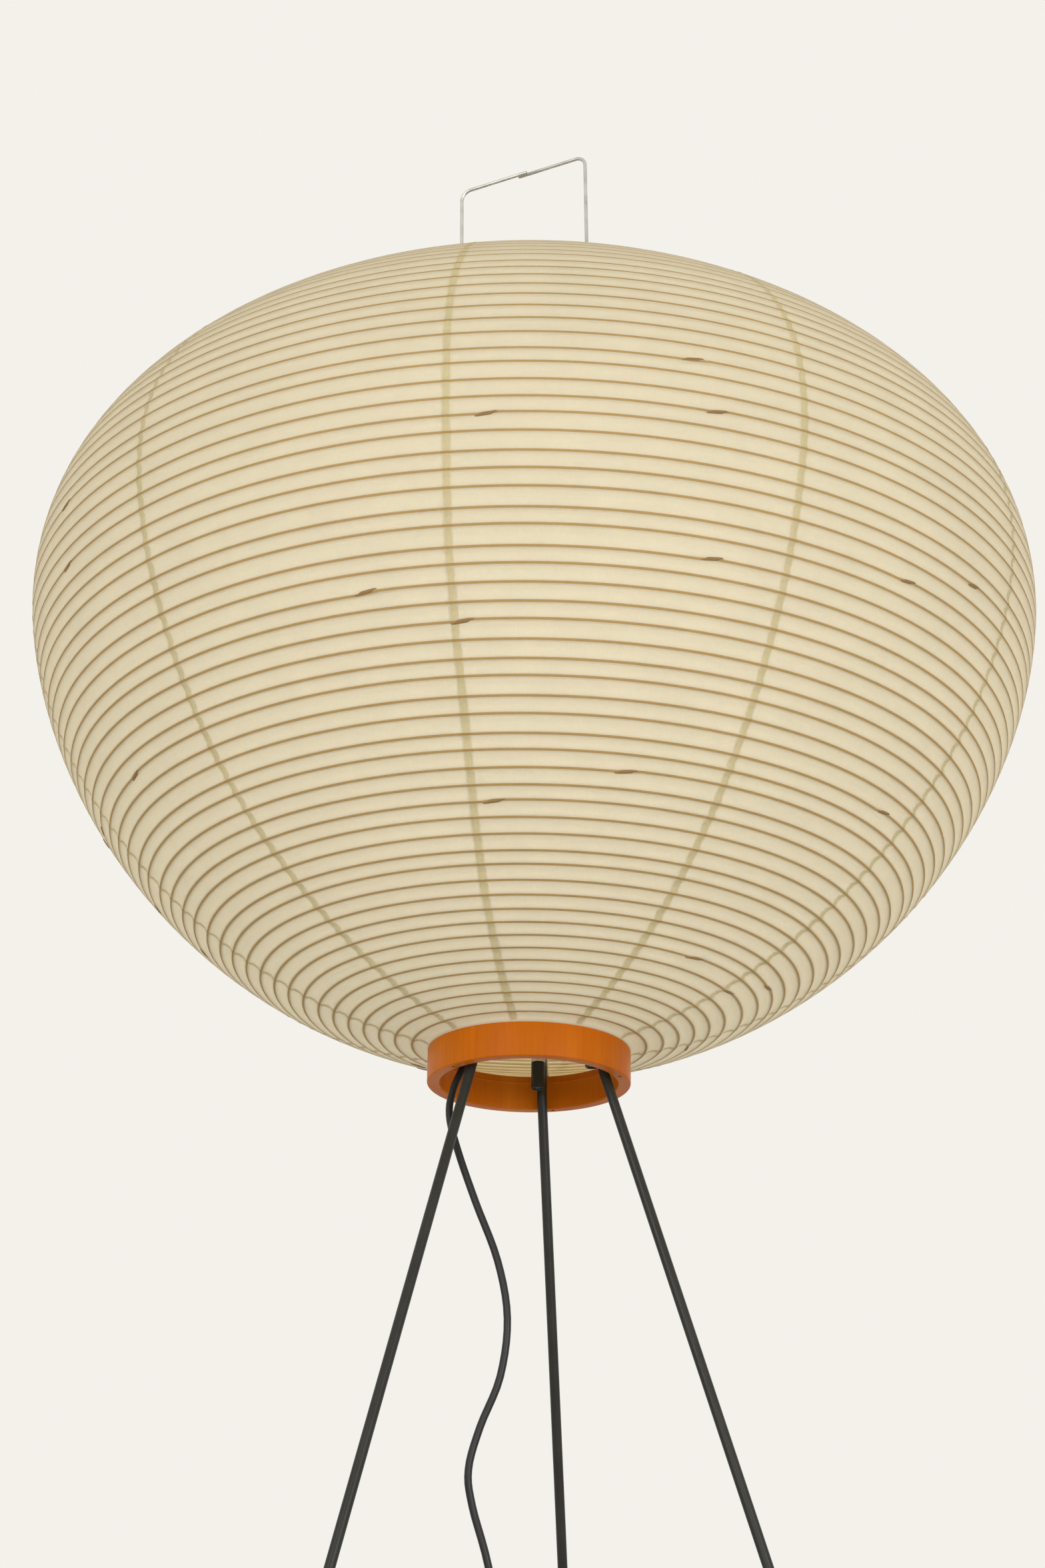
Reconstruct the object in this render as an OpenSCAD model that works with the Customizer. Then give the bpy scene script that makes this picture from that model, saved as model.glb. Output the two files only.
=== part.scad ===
// Floor lamp with a ribbed paper shade on a slim three-legged stand.
// Lengths are in millimetres. Z is up, and the origin is on the floor below the shade's axis.
// Front is -Y, and azimuths are counted from +X towards +Y.

/* [Overall] */
// Height of the lamp from the floor to the top of the wire bail
overall_h = 1230; // [1200:1:1320]
// Height of the wooden hoop's underside above the floor
hoop_z = 679; // [600:1:720]

/* [Paper shade] */
// Diameter of the shade at its widest hoop
shade_d = 530; // [480:1:600]
// Height of the shade below its widest hoop
shade_low_h = 232; // [200:1:250]
// Height of the shade above its widest hoop
shade_top_h = 165; // [140:1:180]
// Roundness of the lower half: 2 is an ellipse, less is more conical
low_round = 1.76; // [1.6:0.02:2.2]
// Roundness of the upper half: 2 is an ellipse, more is flatter on top
top_round = 2.13; // [1.9:0.01:2.3]
// Diameter of the opening at the top of the shade
top_opening_d = 104; // [98:1:120]
// Thickness of the paper skin
paper_t = 0.5; // [0.3:0.1:0.8]
// Wanted distance between neighbouring ribs, measured along the paper
rib_pitch = 8.3; // [8:0.1:14]
// Diameter of a bamboo rib
rib_d = 1.8; // [1.2:0.1:2.4]
// Diameter of the wire ring in the top opening
top_ring_d = 3; // [2:0.1:4]

/* [Wooden hoop] */
// Outer diameter of the hoop
hoop_d = 101.6; // [98:0.1:106]
// Wall of the hoop
hoop_wall = 6.3; // [5.8:0.1:7]
// Height of the hoop
hoop_h = 17.7; // [14:0.1:20]
// Radius of the hoop's rounded edges
hoop_edge_r = 0.8; // [0.4:0.1:1.2]
// Depth of the step turned in the top of the inner wall
step_depth = 0.8; // [0.4:0.1:1.2]
// Height of that step
step_h = 3.4; // [2:0.1:5]

/* [Stand] */
// Diameter of a leg rod
leg_d = 5; // [4:0.1:5.5]
// Gap between the straight tops of the legs and the hoop
leg_gap = 4; // [3:0.1:6]
// Angle between a leg and the vertical
leg_splay = 17.8; // [12:0.1:17.9]
// Azimuth of the front left leg
leg_left_az = -136; // [-138:0.5:-132]
// Azimuth of the front right leg
leg_right_az = -15.5; // [-18:0.5:4]
// Azimuth of the rear leg
leg_rear_az = 79.5; // [60:0.5:100]
// Radius of the bend at the top of a leg, to the rod's axis
leg_bend_r = 12; // [8:1:20]
// Outer diameter of the socket welded to each leg
socket_d = 7; // [6.4:0.1:7.4]
// Height of a socket
socket_h = 14; // [10:1:16]
// Height of a socket's mouth above the top of the hoop
socket_rise = 3.5; // [2:0.5:5]
// Diameter of the pins that stand in the sockets
pin_d = 4.6; // [4:0.1:5]
// Diameter of a rubber foot
foot_d = 11; // [9:0.5:12]
// Length of a rubber foot
foot_len = 22; // [18:1:30]

/* [Spider and lampholder] */
// Thickness of the spider's sheet steel
spider_t = 1.6; // [1.2:0.1:2]
// Width of a spider arm
arm_w = 7; // [6:0.1:7.5]
// Diameter of the spider's hub
hub_d = 44; // [42:1:46]
// Height of the hub above the top of the hoop
hub_rise = 28; // [26:0.5:40]
// Diameter of the lampholder's lower cup
cup_d = 36; // [34:1:38]
// Height of the lampholder's lower cup
cup_h = 27; // [24:1:34]
// Diameter of the lampholder's upper body
body_d = 38; // [36:1:40]
// Height of the lampholder's upper body
body_h = 38; // [34:1:44]
// Wall of the cup and of the body
holder_wall = 2; // [1.6:0.1:2.4]

/* [Bulb] */
// Diameter of the bulb
bulb_d = 60; // [50:1:64]
// Length of the glass above the lampholder's rim
bulb_glass_h = 80; // [72:1:96]
// Diameter of the screw cap
bulb_cap_d = 26.4; // [26.2:0.1:26.6]

/* [Wire stretcher] */
// Diameter of the wire
wire_d = 2; // [1.6:0.1:2.4]
// Distance between the two upright wires
wire_span = 79.4; // [77:0.1:84]
// Azimuth of the right upright wire
wire_az = -27; // [-34:0.5:-26]
// Radius of the bends, to the wire's axis
wire_bend_r = 6; // [5:0.5:8]
// Length over which the two halves are welded side by side
wire_lap = 6; // [4:1:16]

/* [Cord] */
// Diameter of the cord
cord_d = 3.6; // [3.2:0.1:3.8]
// Loops in the stored coil
coil_turns = 10; // [8:2:12]
// Least radius of the coil, to the cord's axis
coil_in_r = 16.3; // [15:0.1:16.4]
// Length of the inline switch
switch_l = 62; // [60:1:64]
// Width of the inline switch
switch_w = 25; // [24:0.5:30]
// Height of the inline switch
switch_h = 17; // [16.5:0.5:20]
// Angle through which the rocker turns
rocker_turn = 16; // [8:1:18]
// Width of the plug
plug_w = 35.3; // [34:0.1:36]
// Thickness of the plug
plug_t = 13.8; // [12:0.1:14]
// Length of the plug's body without its tail
plug_l = 30; // [26:1:34]
// Distance between the plug's pins
plug_pitch = 18.6; // [17:0.1:20]

/* [Hidden] */
$fn = 96;
eps = 0.01;

// Heights and radii that several pieces share
hoop_r = hoop_d / 2;
hoop_in_r = hoop_r - hoop_wall;
hoop_top = hoop_z + hoop_h;
shade_r = shade_d / 2;
top_r = top_opening_d / 2;
widest_z = hoop_top + shade_low_h;
shade_top = widest_z + shade_top_h;
hub_z = hoop_top + hub_rise;
hub_top = hub_z + spider_t;
socket_top = hoop_top + socket_rise;
leg_azimuths = [leg_left_az, leg_right_az, leg_rear_az];

// Meridian of the shade: angle a runs from -90 at the bottom to 90 at the top, and 0 is the widest hoop
low_angle = acos(hoop_r / shade_r);
top_angle = acos(top_r / shade_r);
low_reach = shade_low_h / pow(sin(low_angle), 2 / low_round);
top_reach = shade_top_h / pow(sin(top_angle), 2 / top_round);
function meridian(a) = [shade_r * cos(a), a < 0
  ? widest_z - low_reach * pow(sin(-a), 2 / low_round)
  : widest_z + top_reach * pow(sin(a), 2 / top_round)];
// Table of [length along the meridian, angle], from which the ribs are spaced evenly
steps = 300;
function angle_at(i) = -low_angle + (low_angle + top_angle) * i / steps;
lengths = [for (i = 0, s = 0; i <= steps;
  s = i < steps ? s + norm(meridian(angle_at(i + 1)) - meridian(angle_at(i))) : s, i = i + 1)
  [s, angle_at(i)]];
meridian_l = lengths[steps][0];
bays = round(meridian_l / rib_pitch);
function rib_angle(k) = lookup(meridian_l * k / bays, lengths);
function unit(v) = v / norm(v);
function inward(a) = let (t = unit(meridian(a + 0.1) - meridian(a - 0.1))) [-t[1], t[0]];
function inside_point(a, depth) = meridian(a) + depth * inward(a);

// Small blind holes in the hoop's underside, one beside each leg
pilot_d = 2;
pilot_l = 6;
pilot_turn = 5;

// The paper is glued together from equal gores, and the first one starts at the front seam
gores = 10;
gore_turn = 360 / gores;
first_seam = -99;
// Paper flange that is glued to the hoop's top face
flange_w = 1.5;
rib_sink = 0.05;
rib_sides = 6;

// Leg line: a straight top, a bend, then the straight splayed rod
leg_top_r = hoop_in_r - leg_gap - leg_d / 2;
weld_sink = 0.1;
bend_swell = 0.04;
bend_lap = 0.3;
leg_top_z = socket_top;
bend_z = hoop_top - 10.5;
leg_r1 = leg_top_r + leg_bend_r * (1 - cos(leg_splay));
leg_z1 = bend_z - leg_bend_r * sin(leg_splay);
foot_sole = 4;
leg_l = (leg_z1 - foot_sole) / cos(leg_splay);
foot_r = leg_r1 + leg_z1 * tan(leg_splay);
// A socket stands beside its leg, inwards and a little to the left
socket_side = 1.1;
socket_in = sqrt(pow((socket_d + leg_d) / 2 - weld_sink, 2) - pow(socket_side, 2));
socket_r = norm([leg_top_r - socket_in, socket_side]);
socket_turn = atan(socket_side / (leg_top_r - socket_in));
function arm_az(i) = leg_azimuths[i] + socket_turn;
pin_clear = 0.05;
collar_d = socket_d;

// Side view of a spider arm: hub, slope, ledge over the pin, drop, tab on the hoop
arm_ledge_z = socket_top + 8;
arm_start_r = 8;
arm_slope_r = hub_d / 2;
arm_ledge_in = socket_r - 5;
arm_ledge_out = socket_r + 5;
tab_in = hoop_in_r - 1.3;
tab_out = hoop_r - flange_w - 0.3;
screw_r = tab_out - 2.1;
screw_d = 2;
screw_head_d = 3.8;
screw_head_h = 1.4;
screw_l = 9;

// Lampholder stack on the hub
nipple_d = 10;
nipple_bore = 7;
nipple_clear = 0.2;
nut_h = 3;
nut_flats = 14;
cup_top = hub_top + cup_h;
body_top = cup_top + body_h;
body_floor_z = cup_top + 5;
body_floor_t = 4;
shell_clear = 0.3;
shell_t = 0.5;
shell_in_r = bulb_cap_d / 2 + shell_clear;
shell_z = body_floor_z + body_floor_t;
contact_z = shell_z + 1.2;
thread_pitch = 3.6;
thread_turns = 5;
thread_depth = 0.8;

// The strain relief points out of the cup's side and down, towards the left of the front left leg
relief_az = -152;
relief_tilt = 45;
relief_reach = 34;
relief_axis_h = 30.7;
relief_tip = [relief_reach * cos(relief_az), relief_reach * sin(relief_az),
  hub_top + relief_axis_h - relief_reach / tan(relief_tilt)];
relief_l = 26;
relief_root_d = 9;
relief_tip_d = 5.6;
relief_root_l = 8;
relief_dir = [sin(180 - relief_tilt) * cos(relief_az), sin(180 - relief_tilt) * sin(relief_az),
  cos(180 - relief_tilt)];
lead_d = 1.4;
lead_share = 0.8;
terminal_r = 8;
terminal_d = 5.6;
terminal_h = 4;
terminal_pin_d = 3;

// Wire stretcher
wire_r = wire_span / 2;
wire_foot_r = 14;
wire_foot_z = hub_z - wire_d / 2;
bail_z = overall_h - wire_d / 2;
wire_side = wire_d / 2 - weld_sink / 2;
ring_z = shade_top - paper_t - top_ring_d / 2 - 0.4;
ring_r = top_r - 0.5;
hook_z = ring_z - top_ring_d / 2 - wire_d / 2;

// The hanging stretch keeps its shape on the floor up to this height
hang_low = 42;
// Route of the cord, from the strain relief to the inline switch
hanging_route = [
  [-30.2, -16.1, 722.8], [-34, -18, 718], [-36, -20, 711], [-33.5, -19, 698], [-31.5, -19, 686],
  [-37, -22, 670], [-38.5, -25, 656], [-34, -27, 638], [-25, -27, 613], [-14, -26, 585],
  [-9, -25, 558], [-12, -24, 531], [-21, -23, 508], [-26, -22, 489], [-24, -20, 473],
  [-16, -19, 446], [-8, -15, 405], [-9, -9, 350], [-17, -3, 285], [-23, 0, 215],
  [-21, 0, 145], [-19, 0, 85], [-19, 2, 42], [-19, 9, 17], [-19, 22, 5],
  [-18, 38, 1.8], [-12, 56, 1.8], [0, 71, 2], [15, 79, 5], [27, 80, 7], [33, 80, 7]];
// Where the stand is taller or shorter, the hanging stretch is drawn out or in with it
drawn_out = (relief_tip[2] - 723) / (723 - hang_low);
hanging_line = [for (p = hanging_route) p + [0, 0, drawn_out * max(0, p[2] - hang_low)]];
// From the inline switch to the coil
middle_route = [
  [89, 80, 7], [95, 80, 7], [108, 81, 4], [122, 88, 1.8], [128, 100, 1.8],
  [124, 113, 1.8], [110, 121, 2], [92, 123, 2.4], [76, 123, 3], [64, 123, 3]];
// From the coil to the plug
tail_route = [
  [56, 123, 15.6], [50, 123, 15.4], [40, 122, 13.5], [28, 120, 9.5], [17, 120, 7],
  [12, 120, 6.9], [8, 120, 6.9]];
cord_sides = 8;

// Stored coil: it spirals in and out again in four layers
coil_layers = 4;
coil_gap = 0.6;
tie_t = 0.8;
tie_w = 5;
tie_clear = 0.4;
coil_lead = 4;
coil_pitch = cord_d + coil_gap;
turns_per_layer = coil_turns / coil_layers;
coil_out_r = coil_in_r + coil_pitch * turns_per_layer;
coil_x = middle_route[len(middle_route) - 1][0] - coil_lead;
coil_y = middle_route[len(middle_route) - 1][1] + coil_out_r;
coil_z = tie_t + tie_clear + cord_d / 2;
coil_sides = 6;
rings_per_turn = 24;

// Inline switch, lying along X
switch_x = 30;
switch_y = 80;
switch_mid = switch_x + switch_l / 2;
switch_seam = 7;
switch_wall = 1.8;
switch_end_r = 6;
rocker_len = 17;
rocker_w = 8.6;
rocker_r = rocker_len / 2;
rocker_clear = 0.3;
rocker_pin_d = 2.4;
rocker_dip = 3.6;
post_d = 5;
lug_w = 8;
strip_x = 12;
strip_l = 10;
strip_w = 4;
strip_t = 0.6;
blade_gap = 0.3;
switch_screw_d = 2;
switch_head_d = 3.6;
switch_head_h = 1.2;
pivot_z = switch_h - 4.4;
rocker_sole = 2;
rocker_low_z = pivot_z - rocker_sole * cos(rocker_turn / 2) - rocker_r * sin(rocker_turn / 2);
blade_h = rocker_low_z - switch_wall - blade_gap;

// Plug, lying along X with its pins towards -X
plug_x = 8;
plug_y = 120;
plug_z = plug_t / 2;
plug_tail_l = 20;
plug_tail_d = 6;
plug_pin_d = 4;
plug_pin_l = 19;
plug_root_d = 3.2;
plug_root_l = 7.5;
plug_tip = 1;
plug_edge = 3;
plug_face_x = plug_x - plug_tail_l - plug_l;

// Rounded polygon corner: points on a quarter circle
function quarter(x, y, r, from) = [for (i = [0:6]) [x + r * cos(from + 15 * i), y + r * sin(from + 15 * i)]];

// Smooth curve through the points of a route, with n pieces between neighbours
function blend(p, i, t) = let (
  a = p[max(i - 1, 0)], b = p[i], c = p[i + 1], d = p[min(i + 2, len(p) - 1)])
  0.5 * (2 * b + (c - a) * t + (2 * a - 5 * b + 4 * c - d) * t * t + (3 * b - a - 3 * c + d) * t * t * t);
function smooth(p, n) = concat([for (i = [0:len(p) - 2], k = [0:n - 1]) blend(p, i, k / n)], [p[len(p) - 1]]);

// Rings along a path: each frame is carried on from the one before it
function direction(p, i) = unit(p[min(i + 1, len(p) - 1)] - p[max(i - 1, 0)]);
function squared(v, t) = unit(v - (v * t) * t);
function frames(p, i, v) = i == len(p) ? [] :
  let (w = squared(v, direction(p, i))) concat([w], frames(p, i + 1, w));
module tube(p, d, sides) {
  n = len(p);
  side = frames(p, 0, abs(direction(p, 0)[2]) > 0.9 ? [1, 0, 0] : [0, 0, 1]);
  points = [for (i = [0:n - 1]) let (t = direction(p, i), u = side[i], v = cross(t, u))
    for (k = [0:sides - 1]) let (w = 360 * (k + 0.5) / sides) p[i] + d / 2 * (cos(w) * u + sin(w) * v)];
  walls = [for (i = [0:n - 2], k = [0:sides - 1]) let (m = (k + 1) % sides,
    a = i * sides + k, b = i * sides + m, c = a + sides, e = b + sides) each [[a, c, b], [b, c, e]]];
  start = [for (k = [1:sides - 2]) [0, k, k + 1]];
  end = [for (k = [1:sides - 2]) [(n - 1) * sides, (n - 1) * sides + k + 1, (n - 1) * sides + k]];
  polyhedron(points = points, faces = concat(walls, start, end), convexity = 10);
}

// Coil: t counts turns, and the spiral reverses at the end of each layer
function fold_back(t) = let (m = t % (2 * turns_per_layer))
  m < turns_per_layer ? m : 2 * turns_per_layer - m;
function climb(t) = let (
  layer = round(t / turns_per_layer), from = t - layer * turns_per_layer)
  layer < 1 || layer > coil_layers - 1 || abs(from) > 0.25 ? floor(t / turns_per_layer + eps / 10)
  : layer - 0.5 + 2 * from;
function coil_point(t) = let (a = -90 - 360 * t, r = coil_out_r - coil_pitch * fold_back(t))
  [coil_x + r * cos(a), coil_y + r * sin(a), coil_z + coil_pitch * min(climb(t), coil_layers - 1)];
coil_rings = coil_turns * rings_per_turn;
coil_path = concat([[coil_x + coil_lead, coil_y - coil_out_r, coil_z]],
  [for (i = [0:coil_rings]) coil_point(i / rings_per_turn)],
  [[coil_x - coil_lead, coil_y - coil_out_r, coil_z + coil_pitch * (coil_layers - 1)]]);
// Least distance between turns: each point against those more than half a turn further on
apart = [for (i = [0:2:len(coil_path) - 1], j = [i + rings_per_turn / 2:len(coil_path) - 1])
  norm(coil_path[i] - coil_path[j])];
function path_length(p, i = 0, s = 0) = i >= len(p) - 1 ? s
  : path_length(p, i + 1, s + norm(p[i + 1] - p[i]));
echo(coil_gap = min(apart) - cord_d, coil_length = path_length(coil_path));
echo(cord_length = path_length(smooth(hanging_line, 4)) + path_length(smooth(middle_route, 4))
  + path_length(smooth(tail_route, 4)) + path_length(coil_path) + switch_l);
echo(ribs = bays - 1, rib_spacing = meridian_l / bays);

// ---- Shade ----

module paper_gore(i) {
  a = [for (k = [0:bays]) rib_angle(k)];
  outer = [for (k = [0:bays]) meridian(a[k])];
  inner = [for (k = [bays:-1:0]) inside_point(a[k], paper_t)];
  flange = [[hoop_r - flange_w, hoop_top + paper_t], [hoop_r - flange_w, hoop_top]];
  color("antiquewhite") rotate([0, 0, first_seam + gore_turn * i]) rotate_extrude(angle = gore_turn)
    polygon(concat(outer, inner, flange));
}

module paper_gore_1() {
  paper_gore(0);
}

module paper_gore_2() {
  paper_gore(1);
}

module paper_gore_3() {
  paper_gore(2);
}

module paper_gore_4() {
  paper_gore(3);
}

module paper_gore_5() {
  paper_gore(4);
}

module paper_gore_6() {
  paper_gore(5);
}

module paper_gore_7() {
  paper_gore(6);
}

module paper_gore_8() {
  paper_gore(7);
}

module paper_gore_9() {
  paper_gore(8);
}

module paper_gore_10() {
  paper_gore(9);
}

module bamboo_ribs() {
  color("burlywood") for (k = [1:bays - 1]) {
    centre = inside_point(rib_angle(k), paper_t + rib_d / 2 - rib_sink);
    translate([0, 0, centre[1]]) rotate_extrude() translate([centre[0], 0])
      circle(d = rib_d, $fn = rib_sides);
  }
}

module top_ring() {
  color("silver") translate([0, 0, ring_z]) rotate_extrude() translate([ring_r, 0]) circle(d = top_ring_d);
}

module wooden_hoop() {
  e = hoop_edge_r;
  wide_r = hoop_in_r + step_depth;
  section = concat(
    quarter(hoop_in_r + e, hoop_z + e, e, 180),
    quarter(hoop_r - e, hoop_z + e, e, 270),
    quarter(hoop_r - e, hoop_top - e, e, 0),
    [[wide_r, hoop_top], [wide_r, hoop_top - step_h], [hoop_in_r, hoop_top - step_h - step_depth]]);
  color("chocolate") difference() {
    rotate_extrude() polygon(section);
    for (i = [0:2]) rotate([0, 0, arm_az(i)]) translate([screw_r, 0, hoop_top - screw_l])
      cylinder(d = screw_d, h = screw_l + eps);
    for (az = leg_azimuths) rotate([0, 0, az - pilot_turn])
      translate([hoop_r - hoop_wall / 2, 0, hoop_z - eps]) cylinder(d = pilot_d, h = pilot_l);
  }
}

// ---- Spider: the hub, its arms and the pins that stand in the sockets ----

module arm() {
  t = spider_t;
  low = hoop_top;
  side = [[arm_start_r, hub_z], [arm_slope_r, hub_z], [arm_ledge_in, arm_ledge_z],
    [arm_ledge_out, arm_ledge_z], [tab_in, low + 0.2], [tab_in, low], [tab_out, low],
    [tab_out, low + t], [tab_in + t, low + t], [arm_ledge_out + t, arm_ledge_z + t],
    [arm_ledge_in + t / 2, arm_ledge_z + t], [arm_slope_r + t / 2, hub_z + t],
    [arm_start_r, hub_z + t]];
  rotate([90, 0, 0]) linear_extrude(arm_w, center = true) polygon(side);
}

module spider() {
  color("lightgray") difference() {
    union() {
      translate([0, 0, hub_z]) cylinder(d = hub_d, h = spider_t);
      for (i = [0:2]) rotate([0, 0, arm_az(i)]) arm();
    }
    translate([0, 0, hub_z - eps]) cylinder(d = nipple_d + 2 * nipple_clear, h = spider_t + 2 * eps);
    for (i = [0:2]) rotate([0, 0, arm_az(i)]) translate([screw_r, 0, hoop_top - eps])
      cylinder(d = screw_d, h = spider_t + 2 * eps);
  }
}

module spider_pins() {
  pin_l = socket_h - 1;
  color("silver") for (i = [0:2]) rotate([0, 0, arm_az(i)]) translate([socket_r, 0, 0]) {
    translate([0, 0, socket_top]) cylinder(d = collar_d, h = arm_ledge_z - socket_top);
    translate([0, 0, socket_top - pin_l]) cylinder(d = pin_d, h = pin_l + eps);
  }
}

module hoop_screws() {
  color("gray") for (i = [0:2]) rotate([0, 0, arm_az(i)]) translate([screw_r, 0, hoop_top]) difference() {
    union() {
      translate([0, 0, -screw_l + 1]) cylinder(d = screw_d, h = screw_l + spider_t);
      translate([0, 0, -screw_l]) cylinder(d1 = screw_d / 4, d2 = screw_d, h = 1);
      translate([0, 0, spider_t]) cylinder(d = screw_head_d, h = screw_head_h);
    }
    translate([-screw_head_d, -0.3, spider_t + screw_head_h - 0.6]) cube([2 * screw_head_d, 0.6, 1]);
  }
}

// ---- Wire stretcher: two bent wires, welded to the hub and to each other ----

// Quarter bend in the XZ plane, around the origin, starting at the angle from
module wire_bend(from) {
  rotate([90, 0, 0]) rotate([0, 0, from]) rotate_extrude(angle = 90)
    translate([wire_bend_r, 0]) circle(d = wire_d);
}

module stretcher_half() {
  rise = bail_z - wire_foot_z - 2 * wire_bend_r;
  level = wire_r - wire_bend_r;
  color("gainsboro") translate([0, wire_side, 0]) {
    translate([wire_foot_r, 0, wire_foot_z]) rotate([0, 90, 0]) cylinder(d = wire_d, h = level - wire_foot_r);
    translate([level, 0, wire_foot_z + wire_bend_r]) wire_bend(270);
    translate([wire_r, 0, wire_foot_z + wire_bend_r]) cylinder(d = wire_d, h = rise);
    translate([level, 0, bail_z - wire_bend_r]) wire_bend(0);
    translate([-wire_lap / 2, 0, bail_z]) rotate([0, 90, 0]) cylinder(d = wire_d, h = level + wire_lap / 2);
  }
}

module stretcher_right() {
  rotate([0, 0, wire_az]) stretcher_half();
}

module stretcher_left() {
  rotate([0, 0, wire_az + 180]) stretcher_half();
}

module rim_hooks() {
  start = wire_r + wire_d / 2 - weld_sink;
  hook_l = ring_r + 3 - start;
  color("gainsboro") for (az = [wire_az, wire_az + 180])
    rotate([0, 0, az]) translate([start, wire_side, hook_z]) {
      rotate([0, 90, 0]) cylinder(d = wire_d, h = hook_l);
      translate([hook_l, 0, 0]) sphere(d = wire_d);
    }
}

// ---- Lampholder ----

module nipple() {
  color("goldenrod") translate([0, 0, hub_z - nut_h - 2]) difference() {
    cylinder(d = nipple_d, h = nut_h * 2 + spider_t + holder_wall + 3.5);
    translate([0, 0, -eps]) cylinder(d = nipple_bore, h = nut_h * 2 + spider_t + holder_wall + 4);
  }
}

module nipple_nuts() {
  color("goldenrod") for (z = [hub_z - nut_h, hub_top + holder_wall]) translate([0, 0, z]) difference() {
    cylinder(d = nut_flats / cos(30), h = nut_h, $fn = 6);
    translate([0, 0, -eps]) cylinder(d = nipple_d, h = nut_h + 2 * eps);
  }
}

// Axis of the strain relief: everything in it is drawn along +Z, with the tip at the top
module along_relief() {
  translate(relief_tip) rotate([0, 0, relief_az]) rotate([0, 180 - relief_tilt, 0]) children();
}

module holder_cup() {
  w = holder_wall;
  color("#26241f") difference() {
    translate([0, 0, hub_top]) cylinder(d = cup_d, h = cup_h);
    translate([0, 0, hub_top + w]) cylinder(d = cup_d - 2 * w, h = cup_h);
    translate([0, 0, hub_top - eps]) cylinder(d = nipple_d + 2 * nipple_clear, h = w + 2 * eps);
    along_relief() translate([0, 0, -relief_l - 10]) cylinder(d = relief_root_d, h = relief_l + 10);
  }
}

module holder_body() {
  w = holder_wall;
  color("#26241f") difference() {
    union() {
      translate([0, 0, cup_top]) cylinder(d = body_d, h = body_h);
      translate([0, 0, cup_top - 4]) cylinder(d = cup_d - 2 * w - 0.4, h = 4 + eps);
    }
    translate([0, 0, shell_z]) cylinder(r = shell_in_r + shell_t, h = body_h);
    translate([0, 0, cup_top - 4 - eps]) cylinder(d = cup_d - 4 * w, h = body_floor_z - cup_top + 4 + eps);
    for (side = [-1, 1]) translate([side * terminal_r, 0, body_floor_z - eps])
      cylinder(d = terminal_pin_d, h = body_floor_t + 2 * eps);
  }
}

module screw_shell() {
  color("gold") translate([0, 0, shell_z]) difference() {
    cylinder(r = shell_in_r + shell_t, h = body_top - shell_z - 8);
    translate([0, 0, shell_t]) cylinder(r = shell_in_r, h = body_h);
    translate([0, 0, -eps]) cylinder(r = 9, h = 1);
  }
}

module centre_contact() {
  color("gold") {
    translate([-6, -2, shell_z]) cube([12, 4, 0.6]);
    translate([0, 0, shell_z + 0.6]) cylinder(d = 5, h = contact_z - shell_z - 0.6);
  }
}

module terminals() {
  color("gold") for (side = [-1, 1]) translate([side * terminal_r, 0, body_floor_z - terminal_h]) {
    difference() {
      cylinder(d = terminal_d, h = terminal_h);
      translate([0, 0, -eps]) cylinder(d = lead_d + 0.1, h = terminal_h - 1);
    }
    translate([0, 0, terminal_h - eps]) cylinder(d = terminal_pin_d - 0.1, h = body_floor_t);
  }
}

// Two insulated cores rise from the strain relief's root to the terminals
module lead_wires() {
  root = relief_tip - relief_l * relief_dir;
  color("peru") for (side = [-1, 1]) translate([side * terminal_r, 0, root[2]]) {
    run = [root[0] - side * terminal_r, root[1]];
    cylinder(d = lead_d, h = body_floor_z - 1.2 - root[2]);
    sphere(d = lead_d);
    rotate([0, 0, atan2(run[1], run[0])]) rotate([0, 90, 0]) cylinder(d = lead_d, h = norm(run) * lead_share);
  }
}

module strain_relief() {
  root_d = relief_root_d - 0.2;
  color("#1b1a18") along_relief() translate([0, 0, -relief_l]) difference() {
    union() {
      cylinder(d = root_d, h = relief_root_l);
      translate([0, 0, relief_root_l]) cylinder(d1 = root_d, d2 = relief_tip_d, h = relief_l - relief_root_l);
    }
    translate([0, 0, -eps]) cylinder(d = cord_d - 1, h = relief_l - 3);
  }
}

// ---- Bulb ----

bulb_r = bulb_d / 2;
neck_r = bulb_cap_d / 2 + 0.4;
ball_z = body_top + bulb_glass_h - bulb_r;
glass_t = 0.8;
cap_z = contact_z + 2.2;
// Outline of the glass: a smooth neck up to the ball, then a half circle
function glass_outline(shrink) = concat(
  [for (i = [0:12]) let (t = i / 12, s = (1 - cos(180 * t)) / 2)
    [neck_r + (bulb_r - neck_r) * s - shrink, body_top + 1 + (ball_z - body_top - 1) * t]],
  [for (i = [1:12]) [(bulb_r - shrink) * cos(7.5 * i), ball_z + (bulb_r - shrink) * sin(7.5 * i)]]);

module bulb_glass() {
  inner = glass_outline(glass_t);
  color("whitesmoke") rotate_extrude()
    polygon(concat(glass_outline(0), [for (i = [len(inner) - 1:-1:0]) inner[i]]));
}

module bulb_cap() {
  color("silver") difference() {
    union() {
      translate([0, 0, cap_z]) cylinder(r = bulb_cap_d / 2 - thread_depth, h = body_top + 1 - cap_z);
      for (i = [0:thread_turns - 1]) translate([0, 0, cap_z + 4 + i * thread_pitch])
        rotate_extrude() translate([bulb_cap_d / 2 - thread_depth, 0]) circle(r = thread_depth);
      translate([0, 0, body_top - 3]) cylinder(r = bulb_cap_d / 2 - 0.1, h = 4);
    }
    translate([0, 0, cap_z + 1]) cylinder(r = bulb_cap_d / 2 - thread_depth - 0.6, h = body_h);
  }
}

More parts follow.
